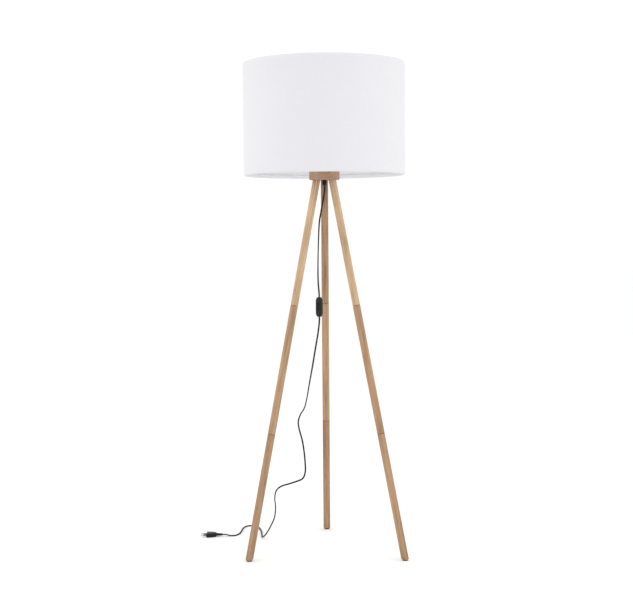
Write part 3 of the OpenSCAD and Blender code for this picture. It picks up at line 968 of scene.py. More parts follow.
def on_curve(route: Sequence[Point], per_span: int) -> list[Vector]:
    """Points along the smooth curve through a route, as the CAD tube follows it.

    Args:
        route: The points that it passes through.
        per_span: Points to each span.

    Returns:
        The curve's points.
    """
    points = [Vector(p) for p in route]
    ends = [2 * points[0] - points[1], *points, 2 * points[-1] - points[-2]]
    line = []
    for i in range(len(points) - 1):
        a, b, c, d = ends[i:i + 4]
        for step in range(per_span):
            t = step / per_span
            line.append(0.5 * (2 * b + (c - a) * t + (2 * a - 5 * b + 4 * c - d) * t * t
                               + (3 * b - a - 3 * c + d) * t ** 3))
    return [*line, points[-1]]


def millimetres(*points: Point) -> list[Point]:
    """Points given in millimetres, in metres."""
    return [tuple(value / 1000 for value in point) for point in points]


@dataclass
class FlatCord:
    """Flat two-core cord: an oval sheath with a faint groove between its cores."""

    width: float = 0.0052
    half_thickness: float = 0.00195
    groove: float = 0.00011
    sides: int = 20
    per_span: int = 6
    squareness: float = 0.75
    twist: float = 7.5
    steepest_lie: float = 0.05
    settle_from: float = 0.012
    settle_by: float = 0.003
    lie_from: float = 0.06
    lie_by: float = 0.015

    def profile(self) -> list[tuple[float, float]]:
        """The sheath's outline, as (across, through).

        Returns:
            The outline's points.
        """
        half = self.width / 2
        outline = []
        for k in range(self.sides):
            angle = 2 * math.pi * k / self.sides
            c, s = math.cos(angle), math.sin(angle)
            across = half * math.copysign(abs(c) ** self.squareness, c)
            waist = self.groove * max(0.0, 1 - abs(across) / (0.25 * half))
            through = (self.half_thickness - waist) * abs(s) ** self.squareness
            outline.append((across, math.copysign(through, s)))
        return outline

    def settled(self, point: Vector) -> Vector:
        """A point of the route, lower where the cord lies on its flat side.

        Args:
            point: The point.

        Returns:
            The lowered point.
        """
        drop = self.width / 2 - self.half_thickness
        share = min(1.0, max(0.0, (self.settle_from - point.z) / (self.settle_from - self.settle_by)))
        return Vector((point.x, point.y, point.z - drop * share))

    def sweep(self, name: str, route: Sequence[Point], start_turn: float) -> tuple[Workpiece, list[Vector]]:
        """Sweep the sheath along a route, turning slowly in the air and lying flat on the floor.

        Args:
            name: The piece's name.
            route: The route's points, in metres.
            start_turn: The direction of the wide side at the start, in radians.

        Returns:
            The piece, and its centreline.
        """
        line = [self.settled(p) for p in on_curve(route, self.per_span)]
        outline = self.profile()
        verts: list[Vector] = []
        wide = Vector((math.cos(start_turn), math.sin(start_turn), 0.0))
        for i, point in enumerate(line):
            ahead = (line[min(i + 1, len(line) - 1)] - line[max(i - 1, 0)]).normalized()
            step = (point - line[max(i - 1, 0)]).length
            lying = ahead.cross(Vector((0, 0, 1)))
            share = min(1.0, max(0.0, (self.lie_from - point.z) / (self.lie_from - self.lie_by)))
            wide.rotate(Matrix.Rotation(self.twist * step * (1 - share), 3, ahead))
            if share > 0 and lying.length > self.steepest_lie:
                lying = lying.normalized() * math.copysign(1.0, lying.dot(wide))
                wide = wide.lerp(lying, share)
            wide = (wide - ahead * wide.dot(ahead)).normalized()
            through = ahead.cross(wide)
            verts.extend(point + wide * a + through * b for a, b in outline)
        n, count = self.sides, len(line)
        faces = [[i * n + k, i * n + (k + 1) % n, (i + 1) * n + (k + 1) % n, (i + 1) * n + k]
                 for i in range(count - 1) for k in range(n)]
        faces.append(list(range(n - 1, -1, -1)))
        faces.append([(count - 1) * n + k for k in range(n)])
        mesh = bpy.data.meshes.new(name)
        mesh.from_pydata(verts, [], faces)
        self._map(mesh, outline, line)
        return from_mesh(name, mesh), line

    def _map(self, mesh: bpy.types.Mesh, outline: Sequence[tuple[float, float]],
             line: Sequence[Vector]) -> None:
        """Map the sheath in metres: round its outline, and along its centreline.

        Args:
            mesh: The sheath's mesh.
            outline: Its outline.
            line: Its centreline.
        """
        turns = [Vector((*point, 0)) for point in [*outline, outline[0]]]
        round_it = [length_of(turns[:k + 1]) for k in range(self.sides + 1)]
        along = [length_of(line[:i + 1]) for i in range(len(line))]
        layer = mesh.uv_layers.new(name="along")
        for polygon in mesh.polygons:
            if len(polygon.vertices) != 4:
                continue
            first = polygon.vertices[0] % self.sides
            for corner, (loop, index) in enumerate(zip(polygon.loop_indices, polygon.vertices)):
                side = first + (corner in (1, 2))
                layer.data[loop].uv = (round_it[side], along[index // self.sides])


def length_of(line: Sequence[Vector]) -> float:
    """The length of a line of points."""
    return sum((b - a).length for a, b in zip(line, line[1:]))


@dataclass
class Assembly:
    """A part of the lamp, built with the shared finishes."""

    finishes: Finishes


@dataclass
class PowerCord(Assembly):
    """The cord from the gland to the switch, and on from the switch to the plug."""

    sheath: FlatCord = field(default_factory=FlatCord)
    upper_route: Sequence[Point] = field(default_factory=lambda: millimetres(
        (0, 0, 1145), (0, 0, 1130), (-2, 1, 1114), (-7, 2, 1086), (-12, 3, 1058), (-17, 4, 1028),
        (-20, 8, 970), (-22, 12, 900), (-22, 17, 850), (-20, 22, 818), (-19, 24, 804),
        (-19, 24, 796.2)))
    lower_route: Sequence[Point] = field(default_factory=lambda: millimetres(
        (-19, 24, 733.8), (-19, 24, 724), (-20, 26, 710), (-24, 31, 680), (-32, 37, 634), (-42, 44, 576),
        (-52, 51, 522), (-61, 57, 472), (-69, 62, 441), (-82, 66, 419), (-89, 68, 396),
        (-86, 72, 370), (-77, 78, 334), (-71, 84, 292), (-68, 90, 250), (-69, 94, 226),
        (-77, 97, 207), (-95, 99, 198), (-122, 101, 189), (-147, 102, 181), (-163, 104, 166),
        (-168, 106, 142), (-166, 111, 110), (-170, 117, 76), (-183, 124, 46), (-200, 134, 16),
        (-212, 154, 4), (-216, 200, 3), (-221, 246, 3), (-229, 284, 3), (-240, 306, 3),
        (-256, 317, 3), (-273, 310, 3), (-283, 282, 3), (-286, 240, 3), (-291, 204, 3),
        (-303, 181, 3), (-319, 175, 4), (-334, 176, 7), (-343.8, 176, 7)))

    def build(self, on_upper: Sequence[bpy.types.Object], on_lower: Sequence[bpy.types.Object]) -> None:
        """Args:
            on_upper: The pieces at the upper stretch's far end, the switch's; not used.
            on_lower: The pieces at the lower stretch's far end, the plug's; not used.
        """
        for name, node, route, turn, end, carried in (
                ("upper_cord", "cord_upper", self.upper_route, 0.0, "fitting", on_upper),
                ("lower_cord", "cord_lower", self.lower_route, 0.4, "plug", on_lower)):
            piece, line = self.sheath.sweep(name, route, turn)
            made = piece.done(self.finishes.sheath, "cord_sheath", [node], smooth=60.0)
            length_of(line)
            "hanging" if end == "fitting" else "loose"
            log.info("%s is %.3f m long", name, length_of(line))


@dataclass
class HandSwitch(Assembly):
    """The in-line switch: two moulded halves, a rocker, and screws at the back."""

    length: float = 0.062
    width: float = 0.020
    thickness: float = 0.014
    shoulder: float = 0.013
    taper: tuple[Point, ...] = ((0.45, 0.93, 0.95), (0.35, 0.80, 0.85), (0.20, 0.67, 0.796))
    rounding: float = 0.0026
    place: Matrix = field(default_factory=lambda: (
        Matrix.Translation((-0.019, 0.024, 0.765)) @ about_z(math.radians(-38))))
    seam: float = 0.00022
    window: tuple[float, float] = (0.0104, 0.0250)
    rocker_size: tuple[float, float] = (0.0097, 0.0236)
    pad_face_y: float = -0.0084
    pad_below_pivot: float = 0.0014
    dished_to_y: float = -0.006
    dip: float = 0.0018
    crown: float = 0.0005
    pivot_y: float = -0.0026
    pivot_size: tuple[float, float] = (0.0012, 0.017)
    rest_tilt: float = math.radians(8)
    screw_x: float = 0.0056
    screw_z: float = 0.022
    well_radius: float = 0.0023
    well_depth: float = 0.0034
    screw_slot: Point = (0.006, 0.0006, 0.0014)

    def build(self) -> list[bpy.types.Object]:
        """Model the halves, the rocker and the screws.

        Returns:
            The finished pieces.
        """
        front, back = self._half("switch_face", -1), self._half("switch_rear", 1)
        front.cut(self._oval("window_cutter", self.window, -0.010, 0.0005))
        front.soften(0.0004, 2, 50.0)
        back.cut(self._screw_wells())
        back.soften(0.0003, 2, 50.0)
        made = []
        for piece, node in ((front, "switch_front"), (back, "switch_back")):
            piece.move_to(self.place)
            made.append(piece.done(self.finishes.black, "black_moulding", [node], smooth=35.0))
        made.append(self._rocker().done(self.finishes.rocker, "black_moulding", ["switch_rocker"],
                                        ROCKER, 35.0))
        made.append(self._screws().done(self.finishes.steel, "zinc_steel", ["switch_screws"]))
        dress(self.finishes.brass, "switch_leaf", "switch_terminals")
        dress(self.finishes.cord_end, "switch_cord_ends")
        return made

    def _half(self, name: str, side: int) -> Workpiece:
        """One half of the housing: a block tapered to both ends, rounded and cut at the seam.

        Args:
            name: The piece's name.
            side: -1 for the front half, 1 for the back.

        Returns:
            The half.
        """
        piece = primitive(name, bpy.ops.mesh.primitive_cube_add,
                          (self.width, self.thickness, self.length - 2 * self.shoulder), size=1)
        piece.edit()
        for end in (-1, 1):
            for share, wide, thick in self.taper:
                piece.pick("FACE", lambda _, normal: normal.z * end > 0.9)
                bpy.ops.mesh.extrude_region_move(
                    TRANSFORM_OT_translate={"value": (0, 0, end * share * self.shoulder)})
                bpy.ops.transform.resize(value=(wide, thick, 1),
                                         center_override=(0, 0, end * self.length / 2))
        piece.close_up()
        piece.soften(self.rounding, 5, 60.0)
        piece.edit()
        bpy.ops.mesh.select_all(action="SELECT")
        bpy.ops.mesh.bisect(plane_co=(0, side * self.seam / 2, 0), plane_no=(0, 1, 0), use_fill=True,
                            clear_inner=side > 0, clear_outer=side < 0)
        piece.close_up()
        return piece

    def _oval(self, name: str, size: tuple[float, float], low_y: float, high_y: float) -> Workpiece:
        """An oval bar across the switch, from one depth to another.

        Args:
            name: The piece's name.
            size: Its width and its height.
            low_y: The depth at which it starts.
            high_y: The depth at which it ends.

        Returns:
            The bar.
        """
        piece = primitive(name, bpy.ops.mesh.primitive_cylinder_add, vertices=64, radius=0.5, depth=1,
                          rotation=(math.pi / 2, 0, 0))
        wide, tall = size
        middle, deep = (low_y + high_y) / 2, high_y - low_y

        def spread(point: Vector) -> Vector:
            """A point of the round bar, moved out to the oval.

            Args:
                point: The point.

            Returns:
                Its new place.
            """
            angle = math.atan2(point.z, point.x)
            c, s = math.cos(angle), math.sin(angle)
            return Vector((wide / 2 * math.copysign(abs(c) ** 0.8, c), middle + point.y * deep,
                           tall / 2 * math.copysign(abs(s) ** 0.8, s)))

        piece.shape_by(spread)
        return piece

    def _rocker(self) -> Workpiece:
        """The rocker: an oval pad, dished from both ends to its middle, on its two pivots.

        Returns:
            The rocker, at rest.
        """
        wide, tall = self.rocker_size
        pad = self._oval("switch_rocker_pad", (wide, tall), self.pad_face_y,
                         self.pivot_y + self.pad_below_pivot)
        pad.edit()
        for _ in range(4):
            pad.pick("FACE", lambda _, normal: normal.y < -0.9)
            bpy.ops.mesh.inset(thickness=0.0010, use_even_offset=False)
        pad.close_up()

        def dish(point: Vector) -> Vector:
            """A point of the pad's face, pressed in towards its middle.

            Args:
                point: The point.

            Returns:
                Its new place.
            """
            if point.y > self.dished_to_y:
                return point
            end = min(1.0, abs(point.z) / (tall / 2))
            hollow = self.dip * (1 - end ** 1.3) + self.crown * (2 * point.x / wide) ** 2
            return Vector((point.x, point.y + hollow, point.z))

        pad.shape_by(dish)
        pad.soften(0.0005, 3, 40.0)
        radius, depth = self.pivot_size
        pivots = primitive("pivots", bpy.ops.mesh.primitive_cylinder_add, vertices=24, radius=radius,
                           depth=depth, rotation=(0, math.pi / 2, 0), location=(0, self.pivot_y, 0))
        pivots.soften(0.0002, 2)
        pad.join([pivots])
        tilt = (Matrix.Translation((0, self.pivot_y, 0)) @ Matrix.Rotation(self.rest_tilt, 4, "X")
                @ Matrix.Translation((0, -self.pivot_y, 0)))
        pad.move_to(self.place @ tilt)
        return pad

    def _screw_places(self) -> list[Point]:
        """Where the two screws go in, in the switch's own frame."""
        return [(side * self.screw_x, self.thickness / 2, side * self.screw_z) for side in (-1, 1)]

    def _screw_wells(self) -> Workpiece:
        """A round well over each screw.

        Returns:
            Both wells, as one piece.
        """
        first, second = (
            primitive("well", bpy.ops.mesh.primitive_cylinder_add, vertices=32, radius=self.well_radius,
                      depth=2 * self.well_depth, rotation=(math.pi / 2, 0, 0), location=place)
            for place in self._screw_places())
        first.join([second])
        return first

    def _screws(self) -> Workpiece:
        """Slotted heads on short shafts.

        Returns:
            Both screws, as one piece.
        """
        heads = []
        for x, y, z in self._screw_places():
            head = turned("switch_housing_screws", [
                (0, -0.006), (0.0010, -0.006), (0.0011, -0.0055), (0.0011, 0.0), (0.0019, 0.0),
                (0.0021, 0.0003), (0.0021, 0.0013), (0.0017, 0.0017), (0, 0.0018)], 32)
            head.cut(primitive("slot", bpy.ops.mesh.primitive_cube_add, self.screw_slot, size=1,
                               location=(0, 0, 0.0018)))
            head.move_to(self.place @ Matrix.Translation((x, y - self.well_depth, z))
                         @ Matrix.Rotation(-math.pi / 2, 4, "X") @ about_z(0.6 + z * 40))
            heads.append(head)
        heads[0].join(heads[1:])
        return heads[0]


@dataclass
class MainsPlug(Assembly):
    """A flat two-pin plug with a ribbed strain relief, lying on the floor."""

    place: Matrix = field(default_factory=lambda: (
        Matrix.Translation((-0.344, 0.176, 0.007)) @ about_z(math.pi)))
    relief: float = 0.020
    relief_ribs: int = 6
    body: float = 0.033
    thickness: float = 0.0132
    pitch: float = 0.0186
    pin_length: float = 0.019
    sleeve_share: float = 0.5
    neck: float = 0.0063
    half_widths: tuple[tuple[float, float], ...] = ((0.33, 0.0134), (0.87, 0.0173), (1.0, 0.0173))
    rounding: float = 0.0027

    def build(self) -> list[bpy.types.Object]:
        """Model the body with its relief, and the pins.

        Returns:
            The finished pieces.
        """
        body = self._relief()
        body.join([self._body()])
        body.move_to(self.place)
        face_x = self.place.translation.x - self.relief - self.body
        pins = self._pins()
        pins.move_to(self.place)
        dressed = Pins("sleeved_pins", face_x - self.sleeve_share * self.pin_length).make()
        return [body.done(self.finishes.black, "black_moulding", ["plug_body"], smooth=35.0),
                pins.done(dressed, "nickel_pins", ["plug_pins"])]

    def _relief(self) -> Workpiece:
        """The tapered strain relief, with a groove every few millimetres.

        Returns:
            The relief.
        """
        outline = [(0, 0), (0.0032, 0), (0.0036, 0.0004)]
        step = (self.relief - 0.002) / self.relief_ribs
        for k in range(self.relief_ribs):
            low = 0.0008 + k * step
            radius = 0.0037 + 0.0014 * (k + 0.5) / self.relief_ribs
            outline += [(radius, low + 0.0003), (radius, low + 0.62 * step),
                        (radius - 0.0007, low + 0.70 * step), (radius - 0.0007, low + 0.95 * step)]
        outline += [(0.0054, self.relief - 0.0004), (0.0054, self.relief + 0.002), (0, self.relief + 0.002)]
        piece = turned("plug_moulding", outline, 40)
        piece.move_to(Matrix.Rotation(math.pi / 2, 4, "Y"))
        return piece

    def _body(self) -> Workpiece:
        """The body: a block widened from its neck, extruded to its face, and rounded.

        Returns:
            The body.
        """
        (share, half), *further = self.half_widths
        piece = primitive("body", bpy.ops.mesh.primitive_cube_add,
                          (share * self.body, 2 * self.neck, self.thickness), size=1,
                          location=(self.relief + share * self.body / 2, 0, 0))
        piece.edit()
        piece.pick("FACE", lambda _, normal: normal.x > 0.9)
        bpy.ops.transform.resize(value=(1, half / self.neck, 1), center_override=(0, 0, 0))
        for next_share, next_half in further:
            piece.pick("FACE", lambda _, normal: normal.x > 0.9)
            bpy.ops.mesh.extrude_region_move(
                TRANSFORM_OT_translate={"value": ((next_share - share) * self.body, 0, 0)})
            bpy.ops.transform.resize(value=(1, next_half / half, 1), center_override=(0, 0, 0))
            share, half = next_share, next_half
        piece.close_up()
        piece.soften(self.rounding, 5, 25.0)
        return piece

    def _pins(self) -> Workpiece:
        """Two round pins with rounded tips.

        Returns:
            Both pins, as one piece.
        """
        r, tip = 0.002, self.pin_length
        outline = [(0, -0.006), (0.0016, -0.006), (0.0016, 0), (r, 0), (r, tip * self.sleeve_share),
                   (r - 0.00012, tip * self.sleeve_share + 0.0001), (r - 0.00012, tip - 0.0013),
                   (r - 0.0005, tip - 0.0005), (0.0009, tip), (0, tip)]
        first = turned("plug_contact_pins", outline, 32)
        first.move_to(Matrix.Translation((self.relief + self.body, self.pitch / 2, 0))
                      @ Matrix.Rotation(math.pi / 2, 4, "Y"))
        first.join([first.copy("second_pin", Matrix.Translation((0, -self.pitch, 0)))])
        return first


# ---------------------------------------------------------------- wood

@dataclass
class Legs(Assembly):
    """Three legs, each of three sections with its own piece of wood."""

    tones: dict[str, tuple[Tone, Tone, Tone]] = field(default_factory=lambda: {
        # The rear leg's upper and lower sections take darker tones than the front legs' sections.
        "rear": (Tone.RUSSET, Tone.AMBER, Tone.UMBER),
        "left": (Tone.HONEY, Tone.AMBER, Tone.RUSSET),
        "right": (Tone.HONEY, Tone.RUSSET, Tone.RUSSET)})

    def build(self) -> None:
        """Dress each section with the grain along its own leg."""
        for i, (side, azimuth) in enumerate(LEG_AZIMUTHS.items()):
            turns = ((0, 0, -azimuth), (0, LEG_LEAN, 0))
            along = Vector((-math.cos(azimuth) * math.sin(LEG_LEAN),
                            -math.sin(azimuth) * math.sin(LEG_LEAN), math.cos(LEG_LEAN)))
            for j, (part, tone) in enumerate(zip(("upper", "middle", "lower"), self.tones[side])):
                section = recast(f"{side}_{part}_section", f"{side}_leg_{part}")
                reach = [vert.co.dot(along) for vert in section.mesh.vertices]
                pale, dark, blush = tone.value
                shift = (1.7 * i + 0.31 * j, 0.9 * j + 2.3 * i, 3.1 * j + 1.3 * i)
                # Dark bands at both ends of each section: darker end grain and painted shade of the joint
                # grooves.
                wood = Wood(f"beech_{side}_{part}", pale, dark, blush, turns, shift,
                            ends=(min(reach), max(reach)))
                section.done(wood.make(), "beech_leg", [f"{side}_leg_{part}"], smooth=30.0)
        dress(self.finishes.steel, "high_joint_studs", "low_joint_studs")
        dress(self.finishes.brass, "high_joint_inserts", "low_joint_inserts")
        recast("foot_pads", "foot_glides").done(self.finishes.glide, "dark_glide", ["foot_glides"])


@dataclass
class TopDisc(Assembly):
    """The turned disc and the fastenings in it."""

    def build(self) -> None:
        """Dress the disc with its grain lying along X."""
        pale, dark, blush = Tone.STAINED.value
        turns = ((0, math.pi / 2, 0),)
        wood = Wood("beech_disc", pale, dark, blush, turns, (4.2, 1.1, 0.4))
        recast("turned_disc", "top_disc").done(wood.make(), "beech_disc", ["top_disc"], smooth=30.0)
        dress(self.finishes.steel, "disc_studs", "threaded_tube", "tube_washer", "tube_nut")
        dress(self.finishes.brass, "disc_inserts")
        dress(self.finishes.cord_end, "inner_cord")
        dress(self.finishes.core, "core_wires")


@dataclass
class CordGland(Assembly):
    """The ribbed gland under the disc and its clamping screw."""

    ribs: int = 24

    def build(self) -> None:
        """Turn the gland and raise its grip ribs."""
        r, z0, z1 = span("cord_gland")
        hole = 0.0029
        outline = [(hole, z0 + 0.0002), (hole + 0.0003, z0), (r - 0.0016, z0), (r - 0.0006, z0 + 0.0005),
                   (r - 0.0003, z0 + 0.0015), (r - 0.0003, z1 - 0.0042), (r - 0.0006, z1 - 0.0036),
                   (r - 0.0006, z1 - 0.003), (r, z1 - 0.0025), (r, z1 - 0.0004), (r - 0.0004, z1),
                   (hole, z1)]
        piece = turned("gland_body", outline, 4 * self.ribs, ring=True)
        piece.edit()
        piece.pick_ribs(self.ribs, z0 + 0.0016, z1 - 0.0043, 0.8 * r)
        bpy.ops.mesh.extrude_region_shrink_fatten(TRANSFORM_OT_shrink_fatten={"value": 0.0003})
        piece.close_up()
        piece.done(self.finishes.black, "black_moulding", ["cord_gland"], smooth=30.0)
        dress(self.finishes.black, "gland_screw")


# ---------------------------------------------------------------- the lampholder

@dataclass
class Lampholder(Assembly):
    """The screw lampholder: cup, threaded sleeve, insulator, shell, contact and shade ring."""

    sleeve_pitch: float = 0.0026
    shell_pitch: float = 0.00363
    ring_ribs: int = 36
    cup_flutes: int = 24
    tongue: float = 0.0005

    def build(self) -> None:
        """Model the pieces from the axis outwards."""
        self._cup()
        self._insulator()
        self._shell()
        self._contact()
        self._sleeve()
        self._ring()
        dress(self.finishes.brass, "holder_terminals")

    def _cup(self) -> None:
        """The base cup, with a rounded foot and shallow flutes."""
        r, z0, z1 = span("holder_base")
        inner, wall, deck = 0.0051, 0.002, z0 + 0.008
        outline = [(inner, z0), (r - 0.0056, z0), (r - 0.0028, z0 + 0.0012), (r - 0.0014, z0 + 0.0036),
                   (r - 0.0010, z0 + 0.0060), (r - 0.0004, z1 - 0.0040), (r, z1 - 0.0034),
                   (r, z1 - 0.0004), (r - 0.0004, z1), (r - wall, z1), (r - wall - 0.0008, deck + 0.001),
                   (r - wall - 0.0018, deck), (inner, deck)]
        piece = turned("holder_cup", outline, 96, ring=True)
        piece.edit()
        piece.pick_ribs(self.cup_flutes, z0 + 0.0062, z1 - 0.0042, r - 0.0015)
        bpy.ops.mesh.inset(thickness=0.0002, depth=-0.0004)
        piece.close_up()
        piece.done(self.finishes.black, "black_moulding", ["holder_base"], smooth=30.0)

    def _insulator(self) -> None:
        """The pale block, with a pocket for the contact."""
        r, z0, z1 = span("socket_insulator")
        pocket, deep = 0.009, 0.003
        outline = [(0, z0), (r - 0.0006, z0), (r, z0 + 0.0006), (r, z1 - 0.0006), (r - 0.0006, z1),
                   (pocket + 0.0004, z1), (pocket, z1 - 0.0004), (pocket, z1 - deep + 0.0004),
                   (pocket - 0.0004, z1 - deep), (0, z1 - deep)]
        piece = turned("holder_insulator", outline, 72)
        piece.done(self.finishes.insulator, "pale_insulator", ["socket_insulator"])

    def _shell(self) -> None:
        """The brass shell, rolled into a screw thread."""
        flange, z0, z1 = span("socket_shell")
        bore, skin = 0.01330, 0.0004
        heights = rise(z0 + 0.0012, z1, self.shell_pitch, 9)
        outline = ([(bore, z0), (flange, z0), (flange, z0 + 0.0007), (bore + skin, z0 + 0.0007)]
                   + [(bore + skin, z) for z in heights] + [(bore, z) for z in reversed(heights)])
        piece = turned("screw_shell", outline, 72, ring=True)
        wind_thread(piece, self.shell_pitch, 0.0009, z0 + 0.0012, z1, bore - 0.0002, bore + skin + 0.0002)
        piece.done(self.finishes.brass, "brass", ["socket_shell"], smooth=60.0)

    def _contact(self) -> None:
        """The sprung tongue: a strip with its middle pressed up into a button."""
        low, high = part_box("centre_contact")
        strip = primitive("contact_tongue", bpy.ops.mesh.primitive_cube_add,
                          (high.x - low.x, high.y - low.y, self.tongue), size=1,
                          location=(0, 0, low.z + self.tongue / 2))
        strip.edit()
        bpy.ops.mesh.select_all(action="SELECT")
        bpy.ops.mesh.subdivide(number_cuts=15)
        strip.close_up()
        button, top = 0.0024, high.z - low.z - 0.0006

        def press(point: Vector) -> Vector:
            """A point of the strip, lifted where the button is.

            Args:
                point: The point.

            Returns:
                Its new place.
            """
            away = math.hypot(point.x, point.y) / button
            lift = top * (0.5 + 0.5 * math.cos(math.pi * min(1.0, away)))
            return Vector((point.x, point.y, point.z + lift))

        strip.shape_by(press)
        strip.soften(0.00012, 2, 60.0)
        strip.done(self.finishes.brass, "brass", ["centre_contact"], smooth=50.0)

    def _sleeve(self) -> None:
        """The sleeve: a flange, and a barrel with a coarse outer thread."""
        flange, z0, z1 = span("holder_sleeve")
        seat, barrel, bore = z0 + 0.004, 0.0198, 0.0141
        heights = rise(seat + 0.0006, z1 - 0.0012, self.sleeve_pitch, 7)
        outline = ([(0.0164, z0), (flange - 0.0006, z0), (flange, z0 + 0.0006), (flange, seat - 0.0005),
                    (flange - 0.0005, seat), (barrel, seat)] + [(barrel, z) for z in heights]
                   + [(barrel - 0.0008, z1), (bore + 0.0006, z1), (bore, z1 - 0.0008),
                      (bore, z0 + 0.0107), (0.0164, z0 + 0.0107)])
        piece = turned("threaded_sleeve", outline, 80, ring=True)
        wind_thread(piece, self.sleeve_pitch, 0.0009, seat + 0.0006, z1 - 0.0012, barrel - 0.0003,
                    barrel + 0.0003)
        piece.done(self.finishes.black, "black_moulding", ["holder_sleeve"], smooth=50.0)

    def _ring(self) -> None:
        """The shade ring: a flange and a knurled grip."""
        flange, z0, z1 = span("shade_ring")
        bore, grip, step_z = 0.0199, 0.0232, z0 + 0.0024
        outline = [(bore, z0), (flange - 0.0005, z0), (flange, z0 + 0.0005), (flange, step_z - 0.0005),
                   (flange - 0.0005, step_z), (grip, step_z + 0.0001), (grip, step_z + 0.0006),
                   (grip, z1 - 0.0012), (grip - 0.0006, z1 - 0.0003), (grip - 0.0012, z1),
                   (bore + 0.0005, z1), (bore, z1 - 0.0005)]
        piece = turned("shade_clamp_ring", outline, 4 * self.ring_ribs, ring=True)
        piece.edit()
        piece.pick_ribs(self.ring_ribs, step_z + 0.0005, z1 - 0.0011, grip - 0.0006)
        bpy.ops.mesh.extrude_region_shrink_fatten(TRANSFORM_OT_shrink_fatten={"value": 0.0004})
        piece.close_up()
        piece.done(self.finishes.black, "black_moulding", ["shade_ring"], smooth=30.0)


# ---------------------------------------------------------------- the shade

@dataclass
class ShadeCarrier(Assembly):
    """The fitter plate, its three arms and the two wire rings."""

    weld: float = 0.0026
    bar_radius: float = 0.0017
    clear_of_plate: float = 0.0003
    short_of_wire: float = 0.0044
    butt_x: float = 0.03
    butt_half: float = 0.003
    butt_rise: float = 0.00035

    def build(self) -> None:
        """Model one arm with its welds and copy it round, then the rings."""
        self._fitter()
        arms = self._arm()
        rest = [arms.copy("arm", about_z(2 * math.pi * k / 3)) for k in (1, 2)]
        arms.join(rest)
        arms.object.name = "welded_arms"
        arms.done(self.finishes.wire, "white_wire", ["carrier_arms"])
        for name, node in (("lower_wire", "bottom_wire"), ("upper_wire", "top_wire")):
            self._wire(name, node)

    def _fitter(self) -> None:
        """The fitter plate, with its edges rounded."""
        (r, z0, z1), edge, hole = span("fitter_ring"), 0.0005, 0.0202
        outline = [(hole, z0 + edge), (hole + edge, z0), (r - edge, z0), (r, z0 + edge), (r, z1 - edge),
                   (r - edge, z1), (hole + edge, z1), (hole, z1 - edge)]
        piece = turned("fitter_plate", outline, 96, ring=True)
        piece.done(self.finishes.wire, "white_wire", ["fitter_ring"])

    def _arm(self) -> Workpiece:
        """The rear arm: a round bar between the fitter and the bottom ring, with a weld at each end.

        Returns:
            The arm.
        """
        plate_r, plate_low, plate_high = span("fitter_ring")
        wire_r, wire_low, wire_high = span("bottom_wire")
        inner = Vector((0, plate_r + self.clear_of_plate, (plate_low + plate_high) / 2))
        outer = Vector((0, wire_r - self.short_of_wire, (wire_low + wire_high) / 2))
        run = outer - inner
        bar = primitive("bar", bpy.ops.mesh.primitive_cylinder_add, vertices=32, radius=self.bar_radius,
                        depth=run.length)
        bar.soften(0.0004, 2)
        along = run.to_track_quat("Z", "Y").to_matrix().to_4x4()
        bar.move_to(Matrix.Translation((inner + outer) / 2) @ along)
        welds = []
        for place, sizes in ((inner, (1.0, 0.55, 0.75)), (outer, (1.15, 0.5, 0.95))):
            blob = primitive("weld", bpy.ops.mesh.primitive_ico_sphere_add, subdivisions=3,
                             radius=self.weld)
            blob.shape_by(lambda p: Vector((p.x * (1 + 0.12 * math.sin(1900 * p.z)), p.y, p.z)))
            blob.move_to(Matrix.Translation(place) @ Matrix.Diagonal((*sizes, 1.0)))
            welds.append(blob)
        bar.join(welds)
        return bar

    def _wire(self, name: str, node: str) -> None:
        """A wire ring, thicker where its ends are butt-welded at the back.

        Args:
            name: The piece's name.
            node: The CAD node that it stands for.
        """
        outer, z0, z1 = span(node)
        r = (z1 - z0) / 2
        piece = primitive(name, bpy.ops.mesh.primitive_torus_add, major_radius=outer - r, minor_radius=r,
                          major_segments=192, minor_segments=16, location=(0, 0, (z0 + z1) / 2))
        piece.edit()
        piece.pick("FACE", lambda middle, _: (
            middle.y > 0 and abs(middle.x - self.butt_x) < self.butt_half))
        bpy.ops.transform.shrink_fatten(value=self.butt_rise)
        piece.close_up()
        piece.done(self.finishes.wire, "white_wire", [node])


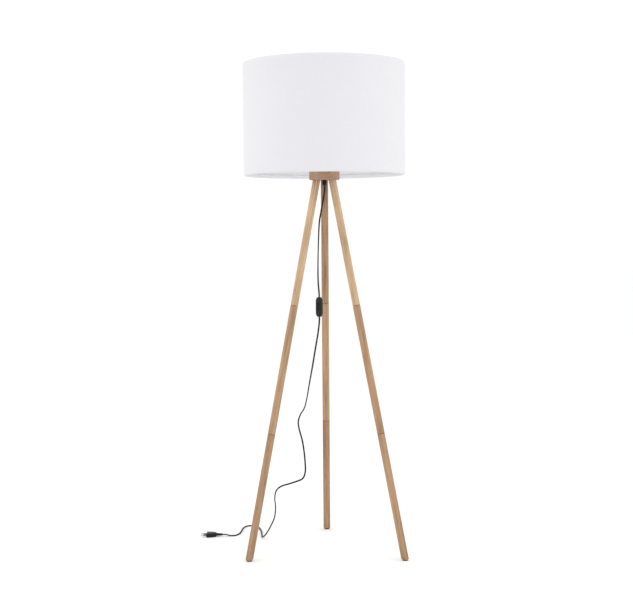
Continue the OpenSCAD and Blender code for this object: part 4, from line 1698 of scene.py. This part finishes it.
@dataclass
class DrumShade(Assembly):
    """The drum: fabric over a stiff liner, with a lapped seam at the back and taped edges."""

    segments: int = 192
    lap: float = 0.008
    lap_rise: float = 0.0005
    tape_height: float = 0.0104
    tape_relief: float = 0.00015
    liner_seam_x: float = -0.02
    liner_seam_half: float = 0.007
    liner_seam_rise: float = 0.0004

    def build(self) -> None:
        hems = [self._hem(*hem) for hem in (("lower_hem", "bottom_hem", 1), ("upper_hem", "top_hem", -1))]
        liner = self._liner()
        skin = self._skin()

    def _skin(self) -> bpy.types.Object:
        """The fabric: a thin tube with rolled edges, doubled at its seam.

        Returns:
            The finished fabric.
        """
        (r, z0, z1), thin, roll = span("shade_skin"), 0.0006, 0.0002
        tape, drum = self.tape_height, r - self.tape_relief
        outline = [(r - thin + roll, z0), (r - roll, z0), (r, z0 + roll), (r, z0 + tape),
                   (drum, z0 + tape + 0.0006), (drum, (2 * z0 + z1) / 3), (drum, (z0 + 2 * z1) / 3),
                   (drum, z1 - tape - 0.0006), (r, z1 - tape), (r, z1 - roll), (r - roll, z1),
                   (r - thin + roll, z1), (r - thin, z1 - roll), (r - thin, z0 + roll)]
        piece = turned("shade_fabric", outline, self.segments, ring=True)
        piece.edit()
        piece.pick("FACE", lambda middle, normal: (
            middle.y > 0 and 0 < middle.x < self.lap and math.hypot(normal.x, normal.y) > 0.9
            and math.hypot(middle.x, middle.y) > r - thin / 2 and z0 + roll < middle.z < z1 - roll))
        bpy.ops.mesh.extrude_region_shrink_fatten(TRANSFORM_OT_shrink_fatten={"value": self.lap_rise})
        piece.close_up()
        unroll(piece, r)
        return piece.done(self.finishes.fabric, "white_fabric", ["shade_skin"], smooth=50.0)

    def _liner(self) -> bpy.types.Object:
        """The liner: a stiff sheet rolled into a tube.

        Returns:
            The finished liner.
        """
        (r, z0, z1), thick = span("shade_liner"), 0.0005
        outline = [(r - thick, z0), (r, z0), (r, (z0 + z1) / 2), (r, z1), (r - thick, z1),
                   (r - thick, (z0 + z1) / 2)]
        piece = turned("shade_lining", outline, self.segments, ring=True)
        piece.edit()
        piece.pick("FACE", lambda middle, normal: (
            middle.y > 0 and abs(middle.x - self.liner_seam_x) < self.liner_seam_half
            and math.hypot(middle.x, middle.y) < r - thick / 2 and abs(normal.z) < 0.5))
        bpy.ops.mesh.extrude_region_shrink_fatten(
            TRANSFORM_OT_shrink_fatten={"value": self.liner_seam_rise})
        piece.close_up()
        unroll(piece, r)
        return piece.done(self.finishes.liner, "white_liner", ["shade_liner"], smooth=50.0)

    def _hem(self, name: str, node: str, up: int) -> bpy.types.Object:
        """The tape rolled in over a wire ring, from the fabric's edge to behind the wire.

        Args:
            name: The piece's name.
            node: The CAD node that it stands for.
            up: 1 at the lower edge, -1 at the upper.

        Returns:
            The finished hem.
        """
        low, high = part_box(node)
        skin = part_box("shade_skin")[1].x
        outer, inner, thick = skin - 0.0007, skin - 0.0060, 0.0006
        edge, end = (low.z, high.z) if up > 0 else (high.z, low.z)
        curl = 0.0014
        outline = [(outer, edge + up * thick), (outer, edge + up * 0.0001), (outer - curl / 2, edge)]
        for k in range(5):
            angle = math.pi / 2 * k / 4
            outline.append((inner + curl * (1 - math.sin(angle)),
                            edge + up * curl * (1 - math.cos(angle))))
        outline += [(inner, end - up * 0.0003), (inner + thick / 2, end), (inner + thick, end - up * 0.0003),
                    (inner + thick, edge + up * (curl + 0.0002)), (inner + curl, edge + up * thick)]
        piece = turned(name, outline, self.segments, ring=True)
        unroll(piece, inner)
        return piece.done(self.finishes.tape, "white_fabric", [node], smooth=50.0)


def main() -> None:
    """Build the lamp from the cord to the shade."""
    logging.basicConfig(level=logging.INFO, format="%(name)s: %(message)s")
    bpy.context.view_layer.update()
    Studio().build()
    finishes = Finishes()
    PowerCord(finishes).build(HandSwitch(finishes).build(), MainsPlug(finishes).build())
    for assembly in (CordGland, TopDisc, Legs, Lampholder, ShadeCarrier, DrumShade):
        assembly(finishes).build()


if __name__ == "__main__":
    main()
